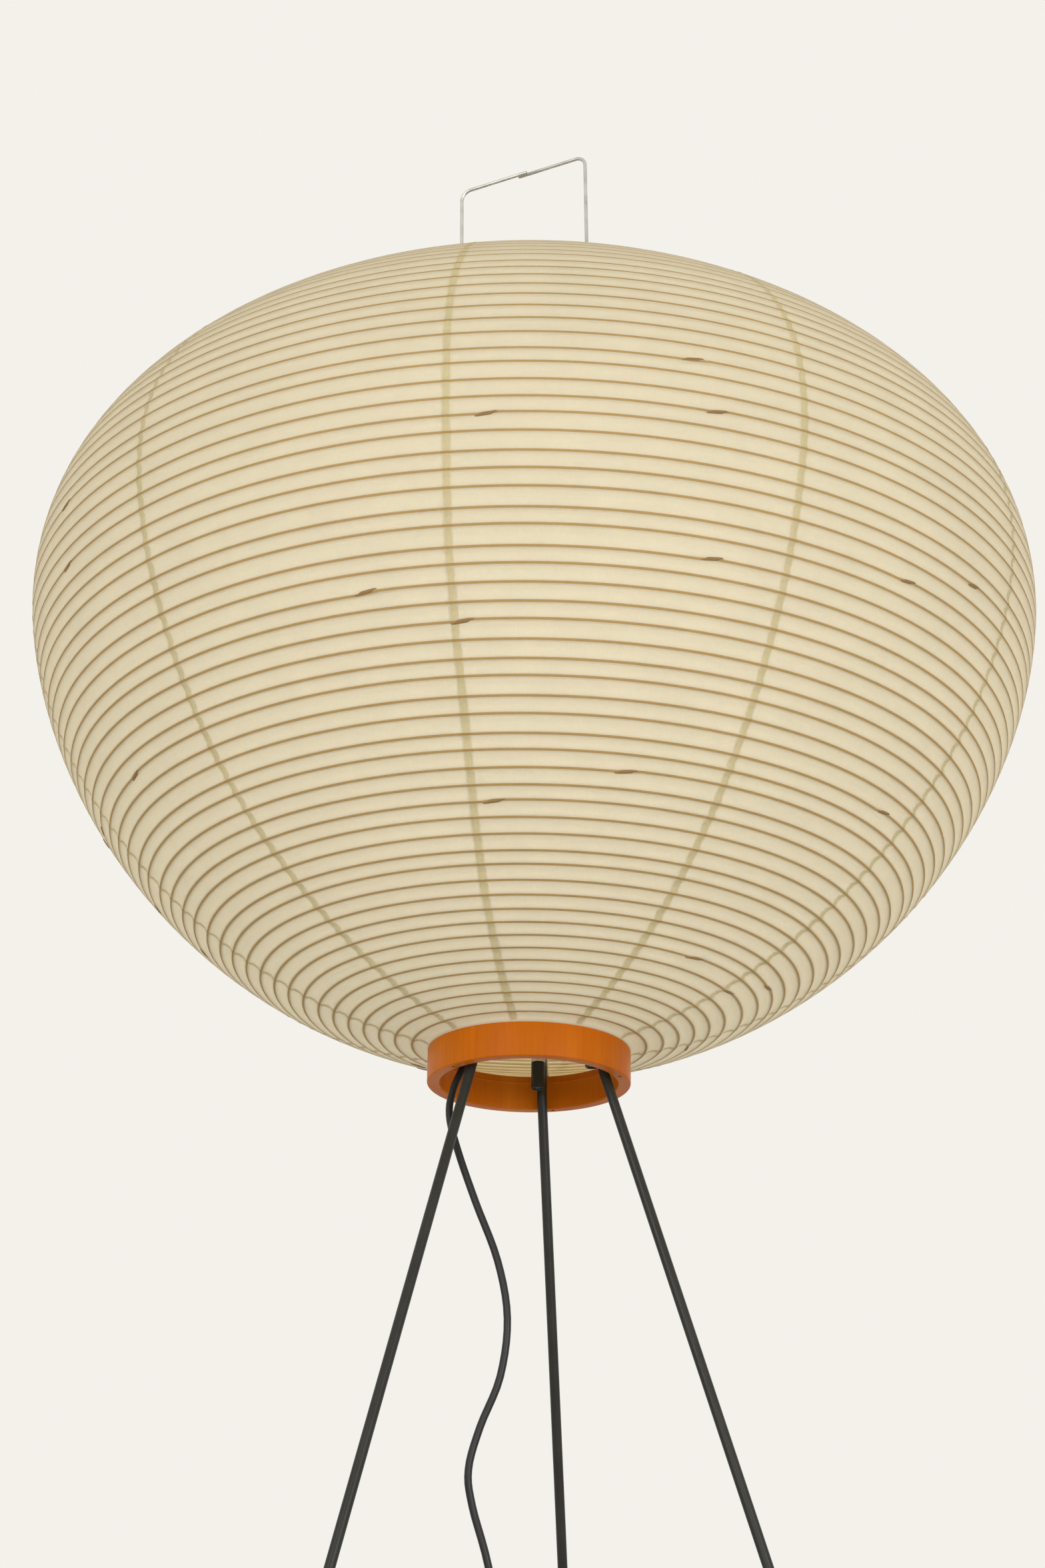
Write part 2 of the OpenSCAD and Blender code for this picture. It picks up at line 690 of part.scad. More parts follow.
module bulb_contact() {
  color("dimgray") {
    translate([0, 0, cap_z - 1.4]) cylinder(d1 = 14, d2 = 22, h = 1.4);
    translate([0, 0, contact_z]) cylinder(d = 9, h = cap_z - 1.4 - contact_z);
  }
}

// ---- Stand ----

module leg(az) {
  color("#2b2b29") rotate([0, 0, az]) {
    translate([leg_top_r, 0, bend_z - bend_lap]) cylinder(d = leg_d, h = leg_top_z - bend_z + bend_lap);
    translate([leg_top_r + leg_bend_r, 0, bend_z]) rotate([90, 0, 0]) rotate([0, 0, 180])
      rotate_extrude(angle = leg_splay) translate([leg_bend_r, 0]) circle(d = leg_d + bend_swell);
    translate([leg_r1, 0, leg_z1]) rotate([0, 180 - leg_splay, 0]) translate([0, 0, -bend_lap])
      cylinder(d = leg_d, h = leg_l + bend_lap);
  }
}

module socket(i) {
  color("#1f1f1e") rotate([0, 0, arm_az(i)]) translate([socket_r, 0, socket_top - socket_h]) difference() {
    cylinder(d = socket_d, h = socket_h);
    translate([0, 0, -eps]) cylinder(d = pin_d + 2 * pin_clear, h = socket_h + 2 * eps);
  }
}

module foot(az) {
  color("#161616") rotate([0, 0, az]) difference() {
    translate([foot_r, 0, 0]) rotate([0, -leg_splay, 0]) translate([0, 0, -foot_len / 2]) {
      cylinder(d = foot_d, h = foot_len + foot_len / 2 - 2);
      translate([0, 0, foot_len * 1.5 - 2]) cylinder(d1 = foot_d, d2 = foot_d - 3, h = 2);
    }
    translate([leg_r1, 0, leg_z1]) rotate([0, 180 - leg_splay, 0]) cylinder(d = leg_d, h = leg_l);
    translate([foot_r - foot_len, -foot_len, -foot_len * 2]) cube([foot_len * 2, foot_len * 2, foot_len * 2]);
  }
}

module leg_left() {
  leg(leg_left_az);
}

module leg_right() {
  leg(leg_right_az);
}

module leg_rear() {
  leg(leg_rear_az);
}

module socket_left() {
  socket(0);
}

module socket_right() {
  socket(1);
}

module socket_rear() {
  socket(2);
}

module foot_left() {
  foot(leg_left_az);
}

module foot_right() {
  foot(leg_right_az);
}

module foot_rear() {
  foot(leg_rear_az);
}

// ---- Cord ----

module cord_hanging() {
  color("#141413") tube(smooth(hanging_line, 2), cord_d, cord_sides);
}

module cord_middle() {
  color("#141413") tube(middle_route, cord_d, cord_sides);
}

module cord_coil() {
  color("#141413") tube(coil_path, cord_d, coil_sides);
}

module cord_tail() {
  color("#141413") tube(tail_route, cord_d, cord_sides);
}

module rounded_rect(w, h, r) {
  square([w - 2 * r, h], center = true);
  square([w, h - 2 * r], center = true);
  for (x = [-1, 1], y = [-1, 1]) translate([x * (w / 2 - r), y * (h / 2 - r)]) circle(r = r);
}

module cord_tie() {
  inner_w = coil_out_r - coil_in_r + cord_d + 2 * tie_clear;
  inner_h = coil_pitch * (coil_layers - 1) + cord_d + 2 * tie_clear;
  color("#202020") translate([coil_x - tie_w / 2, coil_y + (coil_in_r + coil_out_r) / 2, tie_t + inner_h / 2])
    rotate([90, 0, 90]) linear_extrude(tie_w) difference() {
      rounded_rect(inner_w + 2 * tie_t, inner_h + 2 * tie_t, 2.4);
      rounded_rect(inner_w, inner_h, 1.6);
    }
}

// ---- Inline switch ----

module switch_block(z, h) {
  translate([switch_mid, switch_y, z]) linear_extrude(h) rounded_rect(switch_l, switch_w, switch_end_r);
}

module switch_hollow(z, h) {
  translate([switch_mid, switch_y, z]) linear_extrude(h)
    rounded_rect(switch_l - 2 * switch_wall, switch_w - 2 * switch_wall, switch_end_r - switch_wall);
}

module cord_passage() {
  translate([switch_x - eps, switch_y, switch_seam]) rotate([0, 90, 0])
    cylinder(d = cord_d + 0.4, h = switch_l + 2 * eps);
}

// Two screw posts on a diagonal
module switch_posts(z, h, d) {
  for (side = [-1, 1])
    translate([switch_mid + side * 0.3 * switch_l, switch_y - side * (switch_w / 2 - post_d), z])
      cylinder(d = d, h = h);
}

module switch_base() {
  color("#1c1c1b") difference() {
    union() {
      difference() {
        switch_block(0, switch_seam);
        switch_hollow(switch_wall, switch_h);
      }
      switch_posts(switch_wall - eps, switch_seam - switch_wall + eps, post_d);
    }
    cord_passage();
    switch_posts(-eps, switch_h, switch_screw_d);
    switch_posts(-eps, switch_head_h + 0.2, switch_head_d + 0.2);
  }
}

module switch_cover() {
  slot_l = rocker_len + 2 * rocker_clear;
  slot_w = rocker_w + 2 * rocker_clear;
  color("#1c1c1b") difference() {
    union() {
      difference() {
        switch_block(switch_seam, switch_h - switch_seam);
        switch_hollow(switch_seam - eps, switch_h - switch_seam - switch_wall);
      }
      switch_posts(switch_seam, switch_h - switch_seam - 1, post_d);
      translate([switch_mid - lug_w / 2, switch_y - slot_w / 2 - switch_wall, pivot_z - 3])
        cube([lug_w, slot_w + 2 * switch_wall, switch_h - pivot_z + 2]);
    }
    cord_passage();
    translate([switch_mid - slot_l / 2, switch_y - slot_w / 2, pivot_z - 10])
      cube([slot_l, slot_w, switch_h]);
    translate([switch_mid, switch_y, pivot_z]) rotate([90, 0, 0])
      cylinder(d = rocker_pin_d + 0.1, h = slot_w + 2 * switch_wall + 1, center = true);
    switch_posts(0, switch_seam + 4, switch_screw_d);
  }
}

module switch_rocker() {
  rise = rocker_r * tan(rocker_turn / 2);
  color("#2e2e2c") translate([switch_mid, switch_y, pivot_z]) rotate([90, rocker_turn / 2, 0]) {
    linear_extrude(rocker_w, center = true) intersection() {
      circle(r = rocker_r);
      polygon([[-rocker_r, -rocker_sole], [rocker_r, -rocker_sole], [rocker_r, rocker_dip + rise],
        [0, rocker_dip], [-rocker_r, rocker_dip + rise]]);
    }
    cylinder(d = rocker_pin_d, h = rocker_w + 2 * rocker_clear + 2 * switch_wall - 0.4, center = true);
  }
}

// Two brass strips for the cut core, each with a blade below one end of the rocker
module switch_contacts() {
  color("gold") for (side = [-1, 1]) translate([switch_mid + side * strip_x, switch_y, switch_wall]) {
    translate([-strip_l / 2, -strip_w / 2, 0]) cube([strip_l, strip_w, strip_t]);
    translate([-side * strip_l / 2 - strip_t / 2, -strip_w / 2, 0]) cube([strip_t, strip_w, blade_h]);
  }
}

module switch_screws() {
  color("dimgray") {
    switch_posts(0, switch_head_h, switch_head_d);
    switch_posts(switch_head_h - eps, switch_seam + 2, switch_screw_d - 0.1);
  }
}

// ---- Plug ----

module plug_body() {
  color("#1a1a19") difference() {
    union() {
      translate([plug_face_x, plug_y, plug_z]) rotate([90, 0, 90]) linear_extrude(plug_l)
        rounded_rect(plug_w, plug_t, plug_edge);
      translate([plug_x - plug_tail_l - eps, plug_y, plug_z]) rotate([0, 90, 0])
        cylinder(d1 = plug_t - 2, d2 = plug_tail_d, h = plug_tail_l + eps);
    }
    for (side = [-1, 1]) translate([plug_face_x - eps, plug_y + side * plug_pitch / 2, plug_z])
      rotate([0, 90, 0]) cylinder(d = plug_root_d, h = plug_root_l + 2 * eps);
  }
}

module plug_pin() {
  translate([0, 0, -plug_root_l]) cylinder(d = plug_root_d, h = plug_root_l + eps);
  cylinder(d = plug_pin_d, h = plug_pin_l - plug_tip);
  translate([0, 0, plug_pin_l - plug_tip])
    cylinder(d1 = plug_pin_d, d2 = plug_pin_d - 2 * plug_tip, h = plug_tip);
}

module plug_pins() {
  color("silver") for (side = [-1, 1])
    translate([plug_face_x, plug_y + side * plug_pitch / 2, plug_z]) rotate([0, -90, 0]) plug_pin();
}

paper_gore_1();
paper_gore_2();
paper_gore_3();
paper_gore_4();
paper_gore_5();
paper_gore_6();
paper_gore_7();
paper_gore_8();
paper_gore_9();
paper_gore_10();
bamboo_ribs();
top_ring();
wooden_hoop();
spider();
spider_pins();
hoop_screws();
stretcher_left();
stretcher_right();
rim_hooks();
nipple();
nipple_nuts();
holder_cup();
holder_body();
screw_shell();
centre_contact();
terminals();
lead_wires();
strain_relief();
bulb_glass();
bulb_cap();
bulb_contact();
leg_left();
leg_right();
leg_rear();
socket_left();
socket_right();
socket_rear();
foot_left();
foot_right();
foot_rear();
cord_hanging();
cord_middle();
cord_coil();
cord_tail();
cord_tie();
switch_base();
switch_cover();
switch_rocker();
switch_contacts();
switch_screws();
plug_body();
plug_pins();
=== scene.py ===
import bisect
import functools
import math
import random

import bpy
from mathutils import Matrix, Vector, noise


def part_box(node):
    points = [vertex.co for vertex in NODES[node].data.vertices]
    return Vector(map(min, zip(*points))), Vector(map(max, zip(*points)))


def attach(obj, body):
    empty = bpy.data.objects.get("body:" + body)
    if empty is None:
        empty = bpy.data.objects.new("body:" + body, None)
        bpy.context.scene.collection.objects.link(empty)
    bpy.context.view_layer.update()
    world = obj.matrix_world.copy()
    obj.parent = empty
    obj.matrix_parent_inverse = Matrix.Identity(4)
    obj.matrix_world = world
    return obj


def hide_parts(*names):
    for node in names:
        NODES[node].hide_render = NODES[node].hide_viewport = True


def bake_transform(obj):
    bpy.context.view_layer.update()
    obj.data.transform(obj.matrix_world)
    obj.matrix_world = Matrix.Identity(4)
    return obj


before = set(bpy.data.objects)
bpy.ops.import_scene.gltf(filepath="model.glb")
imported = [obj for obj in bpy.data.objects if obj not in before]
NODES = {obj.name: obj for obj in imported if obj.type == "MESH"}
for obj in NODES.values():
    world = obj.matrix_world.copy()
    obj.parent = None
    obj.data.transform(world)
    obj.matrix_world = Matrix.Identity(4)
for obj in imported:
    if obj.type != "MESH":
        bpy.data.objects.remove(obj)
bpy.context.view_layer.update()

bl_info = {
    "name": "Paper Lantern Floor Lamp",
    "version": (1, 0, 0),
    "blender": (4, 5, 0),
    "location": "View3D > Sidebar > Lantern",
    "description": "Models the looks of a ribbed paper lantern on a slim three-legged stand",
    "category": "Add Mesh",
}

# One millimetre in metres
MM = 0.001


def low(node):
    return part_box(node)[0]


def high(node):
    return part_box(node)[1]


def middle(node):
    return (low(node) + high(node)) / 2


def azimuth_of(place):
    """Direction of a place from the lamp's axis, in degrees from +X."""
    return math.degrees(math.atan2(place.y, place.x))


# ---- Frame ----

GORES = [f"paper_gore_{n}" for n in range(1, 11)]
SIDES = ("left", "right", "rear")
HOOP_R = high("wooden_hoop").x
HOOP_TOP = high("wooden_hoop").z
SHADE_R = max(v.co.xy.length for v in NODES[GORES[0]].data.vertices)
SHADE_TOP = high(GORES[0]).z
BAIL_TOP = high("stretcher_left").z

# The shade's meridian: two superellipse quarters that meet at the widest rib
WIDEST_Z = HOOP_TOP + 0.232
LOW_ROUND = 1.76
TOP_ROUND = 2.13
OPENING_R = 0.052
# A bay is the paper from one rib to the next
BAYS = 76

# Route of the cord, in metres: strain relief to switch, switch to coil, coil to plug
HANGING_ROUTE = (
    (-0.0302, -0.0161, 0.7228), (-0.034, -0.018, 0.718), (-0.036, -0.02, 0.711),
    (-0.0335, -0.019, 0.698), (-0.0315, -0.019, 0.686), (-0.037, -0.022, 0.67),
    (-0.0385, -0.025, 0.656), (-0.034, -0.027, 0.638), (-0.025, -0.027, 0.613),
    (-0.014, -0.026, 0.585), (-0.009, -0.025, 0.558), (-0.012, -0.024, 0.531),
    (-0.021, -0.023, 0.508), (-0.026, -0.022, 0.489), (-0.024, -0.02, 0.473),
    (-0.016, -0.019, 0.446), (-0.008, -0.015, 0.405), (-0.009, -0.009, 0.35),
    (-0.017, -0.003, 0.285), (-0.023, 0, 0.215), (-0.021, 0, 0.145), (-0.019, 0, 0.085),
    (-0.019, 0.002, 0.042), (-0.019, 0.009, 0.017), (-0.019, 0.022, 0.005), (-0.018, 0.038, 0.0018),
    (-0.012, 0.056, 0.0018), (0, 0.071, 0.002), (0.015, 0.079, 0.005), (0.027, 0.08, 0.007),
    (0.033, 0.08, 0.007))
MIDDLE_ROUTE = (
    (0.089, 0.08, 0.007), (0.095, 0.08, 0.007), (0.108, 0.081, 0.004), (0.122, 0.088, 0.0018),
    (0.128, 0.1, 0.0018), (0.124, 0.113, 0.0018), (0.11, 0.121, 0.002), (0.092, 0.123, 0.0024),
    (0.076, 0.123, 0.003), (0.064, 0.123, 0.003))
TAIL_ROUTE = (
    (0.056, 0.123, 0.0156), (0.05, 0.123, 0.0154), (0.04, 0.122, 0.0135), (0.028, 0.12, 0.0095),
    (0.017, 0.12, 0.007), (0.012, 0.12, 0.0069), (0.008, 0.12, 0.0069))
# Least distance between two points of the cord's path
LEAST_STEP = 0.0003
COIL_TURNS = 10
COIL_LAYERS = 4
COIL_POINTS = 36
COIL_IN_R = 0.0163
COIL_GAP = 0.0006
COIL_LEAD = 0.004


# ---- Sizes and colours ----

def length(name, text, default):
    return bpy.props.FloatProperty(name=name, description=text, default=default, unit="LENGTH", precision=5)


def colour(name, text, default):
    return bpy.props.FloatVectorProperty(
        name=name, description=text, default=default, subtype="COLOR", size=3, min=0, max=1)


class LanternSizes(bpy.types.PropertyGroup):
    """Sizes of the lamp's visible pieces."""
    paper_t: length("Paper", "Thickness of the paper", 0.4 * MM)
    sag: length("Sag", "Depth of the paper between two ribs", 1.1 * MM)
    rib_line: length("Rib line", "Width of a rib's line on the paper", 1.15 * MM)
    rib_d: length("Rib", "Diameter of a bamboo rib", 1.8 * MM)
    lap_w: length("Lap width", "Width of a lap between gores", 4.2 * MM)
    lap_t: length("Lap height", "Height of a lap over the paper", 0.12 * MM)
    splice_l: length("Splice length", "Length of a rib's spliced ends", 9.5 * MM)
    splice_w: length("Splice width", "Width of a rib's spliced ends", 2.1 * MM)
    leg_d: length("Leg", "Diameter of a leg rod", 5 * MM)
    wire_d: length("Wire", "Diameter of the stretcher's wire", 2 * MM)
    cord_d: length("Cord", "Diameter of the cord", 3.6 * MM)
    gores: bpy.props.IntProperty(name="Gores", description="Number of paper gores", default=10, min=4)


class LanternColours(bpy.types.PropertyGroup):
    """Colours of the lamp's finishes."""
    paper: colour("Paper", "Paper between the ribs", (0.81, 0.755, 0.585))
    # Paper over a rib: the bamboo's brown showing through, deepened by painted shade where the rib blocks
    # the light through the paper
    rib_line: colour("Rib line", "Paper over a rib", (0.42, 0.265, 0.082))
    lap: colour("Lap", "Lap between gores", (0.62, 0.53, 0.30))
    # Over spliced ends: the bamboo's colour showing through, deepened by painted shade where the thick ends
    # block the light through the paper
    splice: colour("Splice", "Paper over spliced ends", (0.27, 0.155, 0.05))
    bamboo: colour("Bamboo", "Ribs inside the shade", (0.76, 0.60, 0.34))
    wood: colour("Wood", "Stained hoop", (0.54, 0.137, 0.0015))
    wood_dark: colour("Dark wood", "Streaks in the hoop", (0.385, 0.082, 0.001))
    black_steel: colour("Black steel", "Rods and sockets", (0.016, 0.016, 0.012))
    zinc: colour("Zinc", "Plated wire and sheet", (0.62, 0.61, 0.57))
    brass: colour("Brass", "Contacts and pins", (0.62, 0.45, 0.17))
    black_plastic: colour("Black plastic", "Lampholder, switch and plug", (0.018, 0.018, 0.017))
    rubber: colour("Rubber", "Feet and cord tie", (0.016, 0.016, 0.016))
    cord: colour("Cord", "Cord's sheath", (0.008, 0.009, 0.008))


# ---- Shader maths ----

class Value:
    """A node's output. Arithmetic on it adds Math nodes, and add() makes any other node."""

    def __init__(self, tree, socket=None):
        self.tree = tree
        self.socket = socket

    def add(self, kind, inputs=None, output=0, **settings):
        """A node of this kind, with its settings and its sockets' values or links."""
        node = self.tree.nodes.new(kind)
        for name, value in settings.items():
            setattr(node, name, value)
        for name, value in (inputs or {}).items():
            if isinstance(value, Value):
                self.tree.links.new(value.socket, node.inputs[name])
            else:
                node.inputs[name].default_value = value
        return Value(self.tree, node.outputs[output])

    def maths(self, operation, a, b):
        return self.add("ShaderNodeMath", {0: a, 1: b}, operation=operation)

    def __add__(self, other):
        return self.maths("ADD", self, other)

    def __sub__(self, other):
        return self.maths("SUBTRACT", self, other)

    def __rsub__(self, other):
        return self.maths("SUBTRACT", other, self)

    def __mul__(self, other):
        return self.maths("MULTIPLY", self, other)

    __radd__ = __add__
    __rmul__ = __mul__

    def moved(self, scale):
        return self.add("ShaderNodeMapping", {"Vector": self, "Scale": scale})

    def noise(self, scale, detail=2.0, rough=0.5):
        inputs = {"Vector": self, "Scale": scale, "Detail": detail, "Roughness": rough}
        return self.add("ShaderNodeTexNoise", inputs)

    def ramp(self, start, end, first=0.0, last=1.0):
        """This value's range from start to end, spread from first to last."""
        inputs = {"Value": self, "From Min": start, "From Max": end, "To Min": first, "To Max": last}
        return self.add("ShaderNodeMapRange", inputs)

    def mix(self, first, second):
        """Colour between first and second, with this value as the share of the second."""
        factor, a, b, result = 0, 6, 7, 2
        return self.add("ShaderNodeMix", {factor: self, a: first, b: second}, result, data_type="RGBA")

    def bump(self, strength, distance):
        return self.add("ShaderNodeBump", {"Height": self, "Strength": strength, "Distance": distance})


def start_material(name):
    """A new material without nodes, and the place on the piece."""
    material = bpy.data.materials.new(name)
    material.use_nodes = True
    material.node_tree.nodes.clear()
    place = Value(material.node_tree).add("ShaderNodeTexCoord", output="Object")
    return material, place


def end_tree(shader, kind="ShaderNodeOutputMaterial"):
    """Links a shader to the output of its tree."""
    out = shader.tree.nodes.new(kind)
    shader.tree.links.new(shader.socket, out.inputs["Surface"])
    shader.tree.nodes.active = out


def finish_material(place, base, roughness, translucent=None, **sockets):
    """Ends a material in a Principled shader; translucent is (share, colour) of light let through."""
    inputs = {"Base Color": base, "Roughness": roughness}
    inputs.update({name.replace("_", " "): value for name, value in sockets.items()})
    shader = place.add("ShaderNodeBsdfPrincipled", inputs)
    if translucent:
        share, tint = translucent
        through = place.add("ShaderNodeBsdfTranslucent", {"Color": tint})
        shader = place.add("ShaderNodeMixShader", {0: share, 1: shader, 2: through})
    end_tree(shader)


def rgba(tint, k=1.0):
    return (tint[0] * k, tint[1] * k, tint[2] * k, 1)


def paper_finish(name, tint, through):
    """Mulberry paper: cloudy tone, long fine fibres and a soft tooth; through is its share of glow."""
    material, place = start_material(name)
    clouds = place.noise(16, 3)
    patches = place.noise(70, 3)
    along = place.moved((1, 1, 3.2)).noise(420, 2, 0.6)
    across = place.moved((2.6, 1, 1)).noise(360, 2, 0.6)
    fibres = (along - 0.5) + (across - 0.5)
    tone = (clouds - 0.5) * 0.5 + (patches - 0.5) * 0.5 + fibres * 0.45
    shade = tone.ramp(-0.35, 0.35).mix(rgba(tint, 0.88), rgba(tint, 1.08))
    tooth = (fibres + patches * 0.6).bump(0.35, 0.0006)
    glow = rgba([0.5 + 0.5 * c for c in tint])
    finish_material(place, shade, 0.78, (through, glow), Normal=tooth)
    return material


def bamboo_finish(name, tint):
    """Split bamboo: uneven tone and a fine grain."""
    material, place = start_material(name)
    tone = place.noise(45, 3).mix(rgba(tint, 0.8), rgba(tint, 1.15))
    finish_material(place, tone, 0.5, Normal=place.noise(600).bump(0.2, 0.0003))
    return material


def wood_finish(name, tint, dark):
    """Stained wood bent into a hoop: tonal bands and fine grain that run up the wall, and paler bands of
    wear and painted sheen.
    """
    material, place = start_material(name)
    bands = place.moved((1, 1, 0.12)).noise(34, 3)
    grain = place.moved((1, 1, 0.05)).noise(420, 3, 0.65)
    fine = place.moved((1, 1, 0.04)).noise(1300, 2)
    tone = (bands - 0.5) * 1.5 + (grain - 0.5) * 0.7 + (fine - 0.5) * 0.25
    base = tone.ramp(-0.55, 0.5).mix(rgba(dark), rgba(tint))
    # Paler bands on the band peaks: partly wear, partly painted sheen where the satin finish would catch
    # the light
    wear_and_sheen = (bands * 1.2 - 0.35).ramp(0.25, 0.6, 0.0, 0.3).mix(base, rgba((0.62, 0.21, 0.018)))
    roughness = tone.ramp(-0.5, 0.5, 0.5, 0.36)
    relief = (grain * 0.6 + fine * 0.4).bump(0.25, 0.0003)
    finish_material(place, wear_and_sheen, roughness, Specular_IOR_Level=0.08, Coat_Weight=0.03,
                    Coat_Roughness=0.3, Normal=relief)
    return material


def black_steel_finish(name, tint):
    """Satin black lacquer on a drawn rod."""
    material, place = start_material(name)
    drawn = place.moved((1, 1, 0.02)).noise(900, 2)
    # Paler, rougher patches of worn lacquer, with no painted light
    wear_and_sheen = place.noise(60, 4, 0.6)
    base = wear_and_sheen.ramp(0.4, 0.75).mix(rgba(tint), rgba(tint, 1.5))
    finish_material(place, base, wear_and_sheen.ramp(0.3, 0.7, 0.32, 0.46), Specular_IOR_Level=0.3,
                    Normal=(drawn * 0.5 + place.noise(1500) * 0.5).bump(0.12, 0.0002))
    return material


def metal_finish(name, tint, rough, streak=(1, 1, 1)):
    """Plated or bare metal with drawn streaks and a little tarnish."""
    material, place = start_material(name)
    drawn = place.moved(streak).noise(700, 3)
    tarnish = place.noise(120, 4, 0.6)
    base = tarnish.ramp(0.35, 0.7).mix(rgba(tint), rgba(tint, 0.72))
    finish_material(place, base, drawn * 0.18 + tarnish * 0.16 + (rough - 0.17), Metallic=0.92,
                    Normal=drawn.bump(0.1, 0.0002))
    return material


def plastic_finish(name, tint, rough, grain=900.0, depth=0.15):
    """Moulded plastic or rubber with a fine grain."""
    material, place = start_material(name)
    cells = place.noise(grain, 2)
    dust = place.noise(45, 4, 0.65)
    base = dust.ramp(0.45, 0.8).mix(rgba(tint), rgba(tint, 1.8))
    finish_material(place, base, dust.ramp(0.3, 0.7, rough - 0.05, rough + 0.08),
                    Specular_IOR_Level=0.35, Normal=cells.bump(depth, 0.0002))
    return material


def glass_finish(name):
    """Frosted white bulb."""
    material, place = start_material(name)
    frost = place.noise(260, 3)
    base = frost.mix((0.86, 0.85, 0.80, 1), (0.92, 0.91, 0.87, 1))
    finish_material(place, base, frost.ramp(0.3, 0.7, 0.32, 0.42), (0.35, (0.9, 0.88, 0.82, 1)),
                    Coat_Weight=0.3, Coat_Roughness=0.2, Normal=frost.bump(0.08, 0.0002))
    return material


@functools.cache
def finishes():
    """All materials of the lamp, by name."""
    c = bpy.context.scene.lantern_colours
    recipes = {
        "paper": (paper_finish, c.paper, 0.62),
        "paper_inside": (paper_finish, c.paper, 0.8),
        # Over a rib: the bamboo's brown and painted shade of the light the rib blocks
        "paper_over_rib": (paper_finish, c.rib_line, 0.2),
        "paper_lap": (paper_finish, c.lap, 0.34),
        # Over a splice: the bamboo's colour and painted shade of the light it blocks
        "paper_over_splice": (paper_finish, c.splice, 0.08),
        "bamboo": (bamboo_finish, c.bamboo),
        "hoop_wood": (wood_finish, c.wood, c.wood_dark),
        "black_steel": (black_steel_finish, c.black_steel),
        "steel_wire": (metal_finish, c.zinc, 0.42, (1, 1, 0.05)),
        "spider_steel": (metal_finish, c.zinc, 0.38, (0.2, 1, 1)),
        "brass": (metal_finish, c.brass, 0.36),
        "cap_aluminium": (metal_finish, (0.72, 0.72, 0.70), 0.4),
        "holder_plastic": (plastic_finish, c.black_plastic, 0.42),
        "switch_plastic": (plastic_finish, c.black_plastic, 0.3, 1400, 0.08),
        "insulation": (plastic_finish, (0.22, 0.09, 0.03), 0.4),
        "insulator": (plastic_finish, (0.02, 0.02, 0.03), 0.18),
        "rubber": (plastic_finish, c.rubber, 0.62, 700, 0.3),
        "cord_black": (plastic_finish, c.cord, 0.4, 1600, 0.1),
        "bulb_glass": (glass_finish,),
    }
    return {name: make(name, *rest) for name, (make, *rest) in recipes.items()}


# ---- Modelling helpers ----

def deselect():
    bpy.ops.object.select_all(action="DESELECT")


def activate(piece):
    deselect()
    piece.select_set(True)
    bpy.context.view_layer.objects.active = piece


def new_piece(name):
    """The active object and its data, under their name."""
    piece = bpy.context.object
    piece.name = name
    piece.data.name = name
    return piece


def started(name, primitive, **settings):
    """A piece that starts as this primitive, with nothing else selected."""
    deselect()
    primitive(**settings)
    return new_piece(name)


def edit_all():
    bpy.ops.object.mode_set(mode="EDIT")
    bpy.ops.mesh.select_all(action="SELECT")


def smooth(piece, angle):
    """Shades the piece smooth, apart from edges that are sharper than the angle."""
    activate(piece)
    bpy.ops.object.shade_smooth_by_angle(angle=math.radians(angle))
    return piece


def joined(pieces, name):
    deselect()
    for piece in pieces:
        piece.select_set(True)
    bpy.context.view_layer.objects.active = pieces[0]
    if len(pieces) > 1:
        bpy.ops.object.join()
    return new_piece(name)


def modified(piece, kind, **settings):
    """The piece with a modifier of this kind applied."""
    activate(piece)
    modifier = piece.modifiers.new(kind, kind)
    for name, value in settings.items():
        setattr(modifier, name, value)
    bpy.ops.object.modifier_apply(modifier=modifier.name)
    return piece


def soften(piece, width, segments, angle):
    """Rounds the edges that are sharper than the angle."""
    return modified(piece, "BEVEL", width=width, segments=segments, limit_method="ANGLE",
                    angle_limit=math.radians(angle))


def close_up(piece):
    """Merges doubles, turns the faces outwards and leaves edit mode."""
    bpy.ops.mesh.select_all(action="SELECT")
    bpy.ops.mesh.remove_doubles(threshold=1e-6)
    bpy.ops.mesh.normals_make_consistent(inside=False)
    bpy.ops.object.mode_set(mode="OBJECT")
    return piece


def spun(piece, steps):
    """The piece's outline spun about the Z axis."""
    edit_all()
    bpy.ops.mesh.spin(steps=steps, angle=math.tau, center=(0, 0, 0), axis=(0, 0, 1))
    return close_up(piece)


def number_rows(mesh, numbers):
    """Gives each vertex its row's number, which a spin carries round."""
    mesh.attributes.new("row", "INT", "POINT").data.foreach_set("value", numbers)


def take_rows(mesh):
    """The vertices' row numbers, taken off the mesh."""
    numbers = [0] * len(mesh.vertices)
    mesh.attributes["row"].data.foreach_get("value", numbers)
    mesh.attributes.remove(mesh.attributes["row"])
    return numbers


def turned(name, outline, steps):
    """A turned piece: a closed ring of points, (radius, height) in metres, spun about the Z axis."""
    piece = started(name, bpy.ops.mesh.primitive_circle_add, vertices=len(outline), radius=1)
    number_rows(piece.data, list(range(len(outline))))
    for vert, (r, z) in zip(piece.data.vertices, outline):
        vert.co = (r, 0, z)
    return spun(piece, steps)


def arc(x, z, r, start, end, parts=6):
    """Points of an arc in the outline's plane, angles in degrees."""
    angles = [math.radians(start + (end - start) * i / parts) for i in range(parts + 1)]
    return [(x + r * math.cos(a), z + r * math.sin(a)) for a in angles]


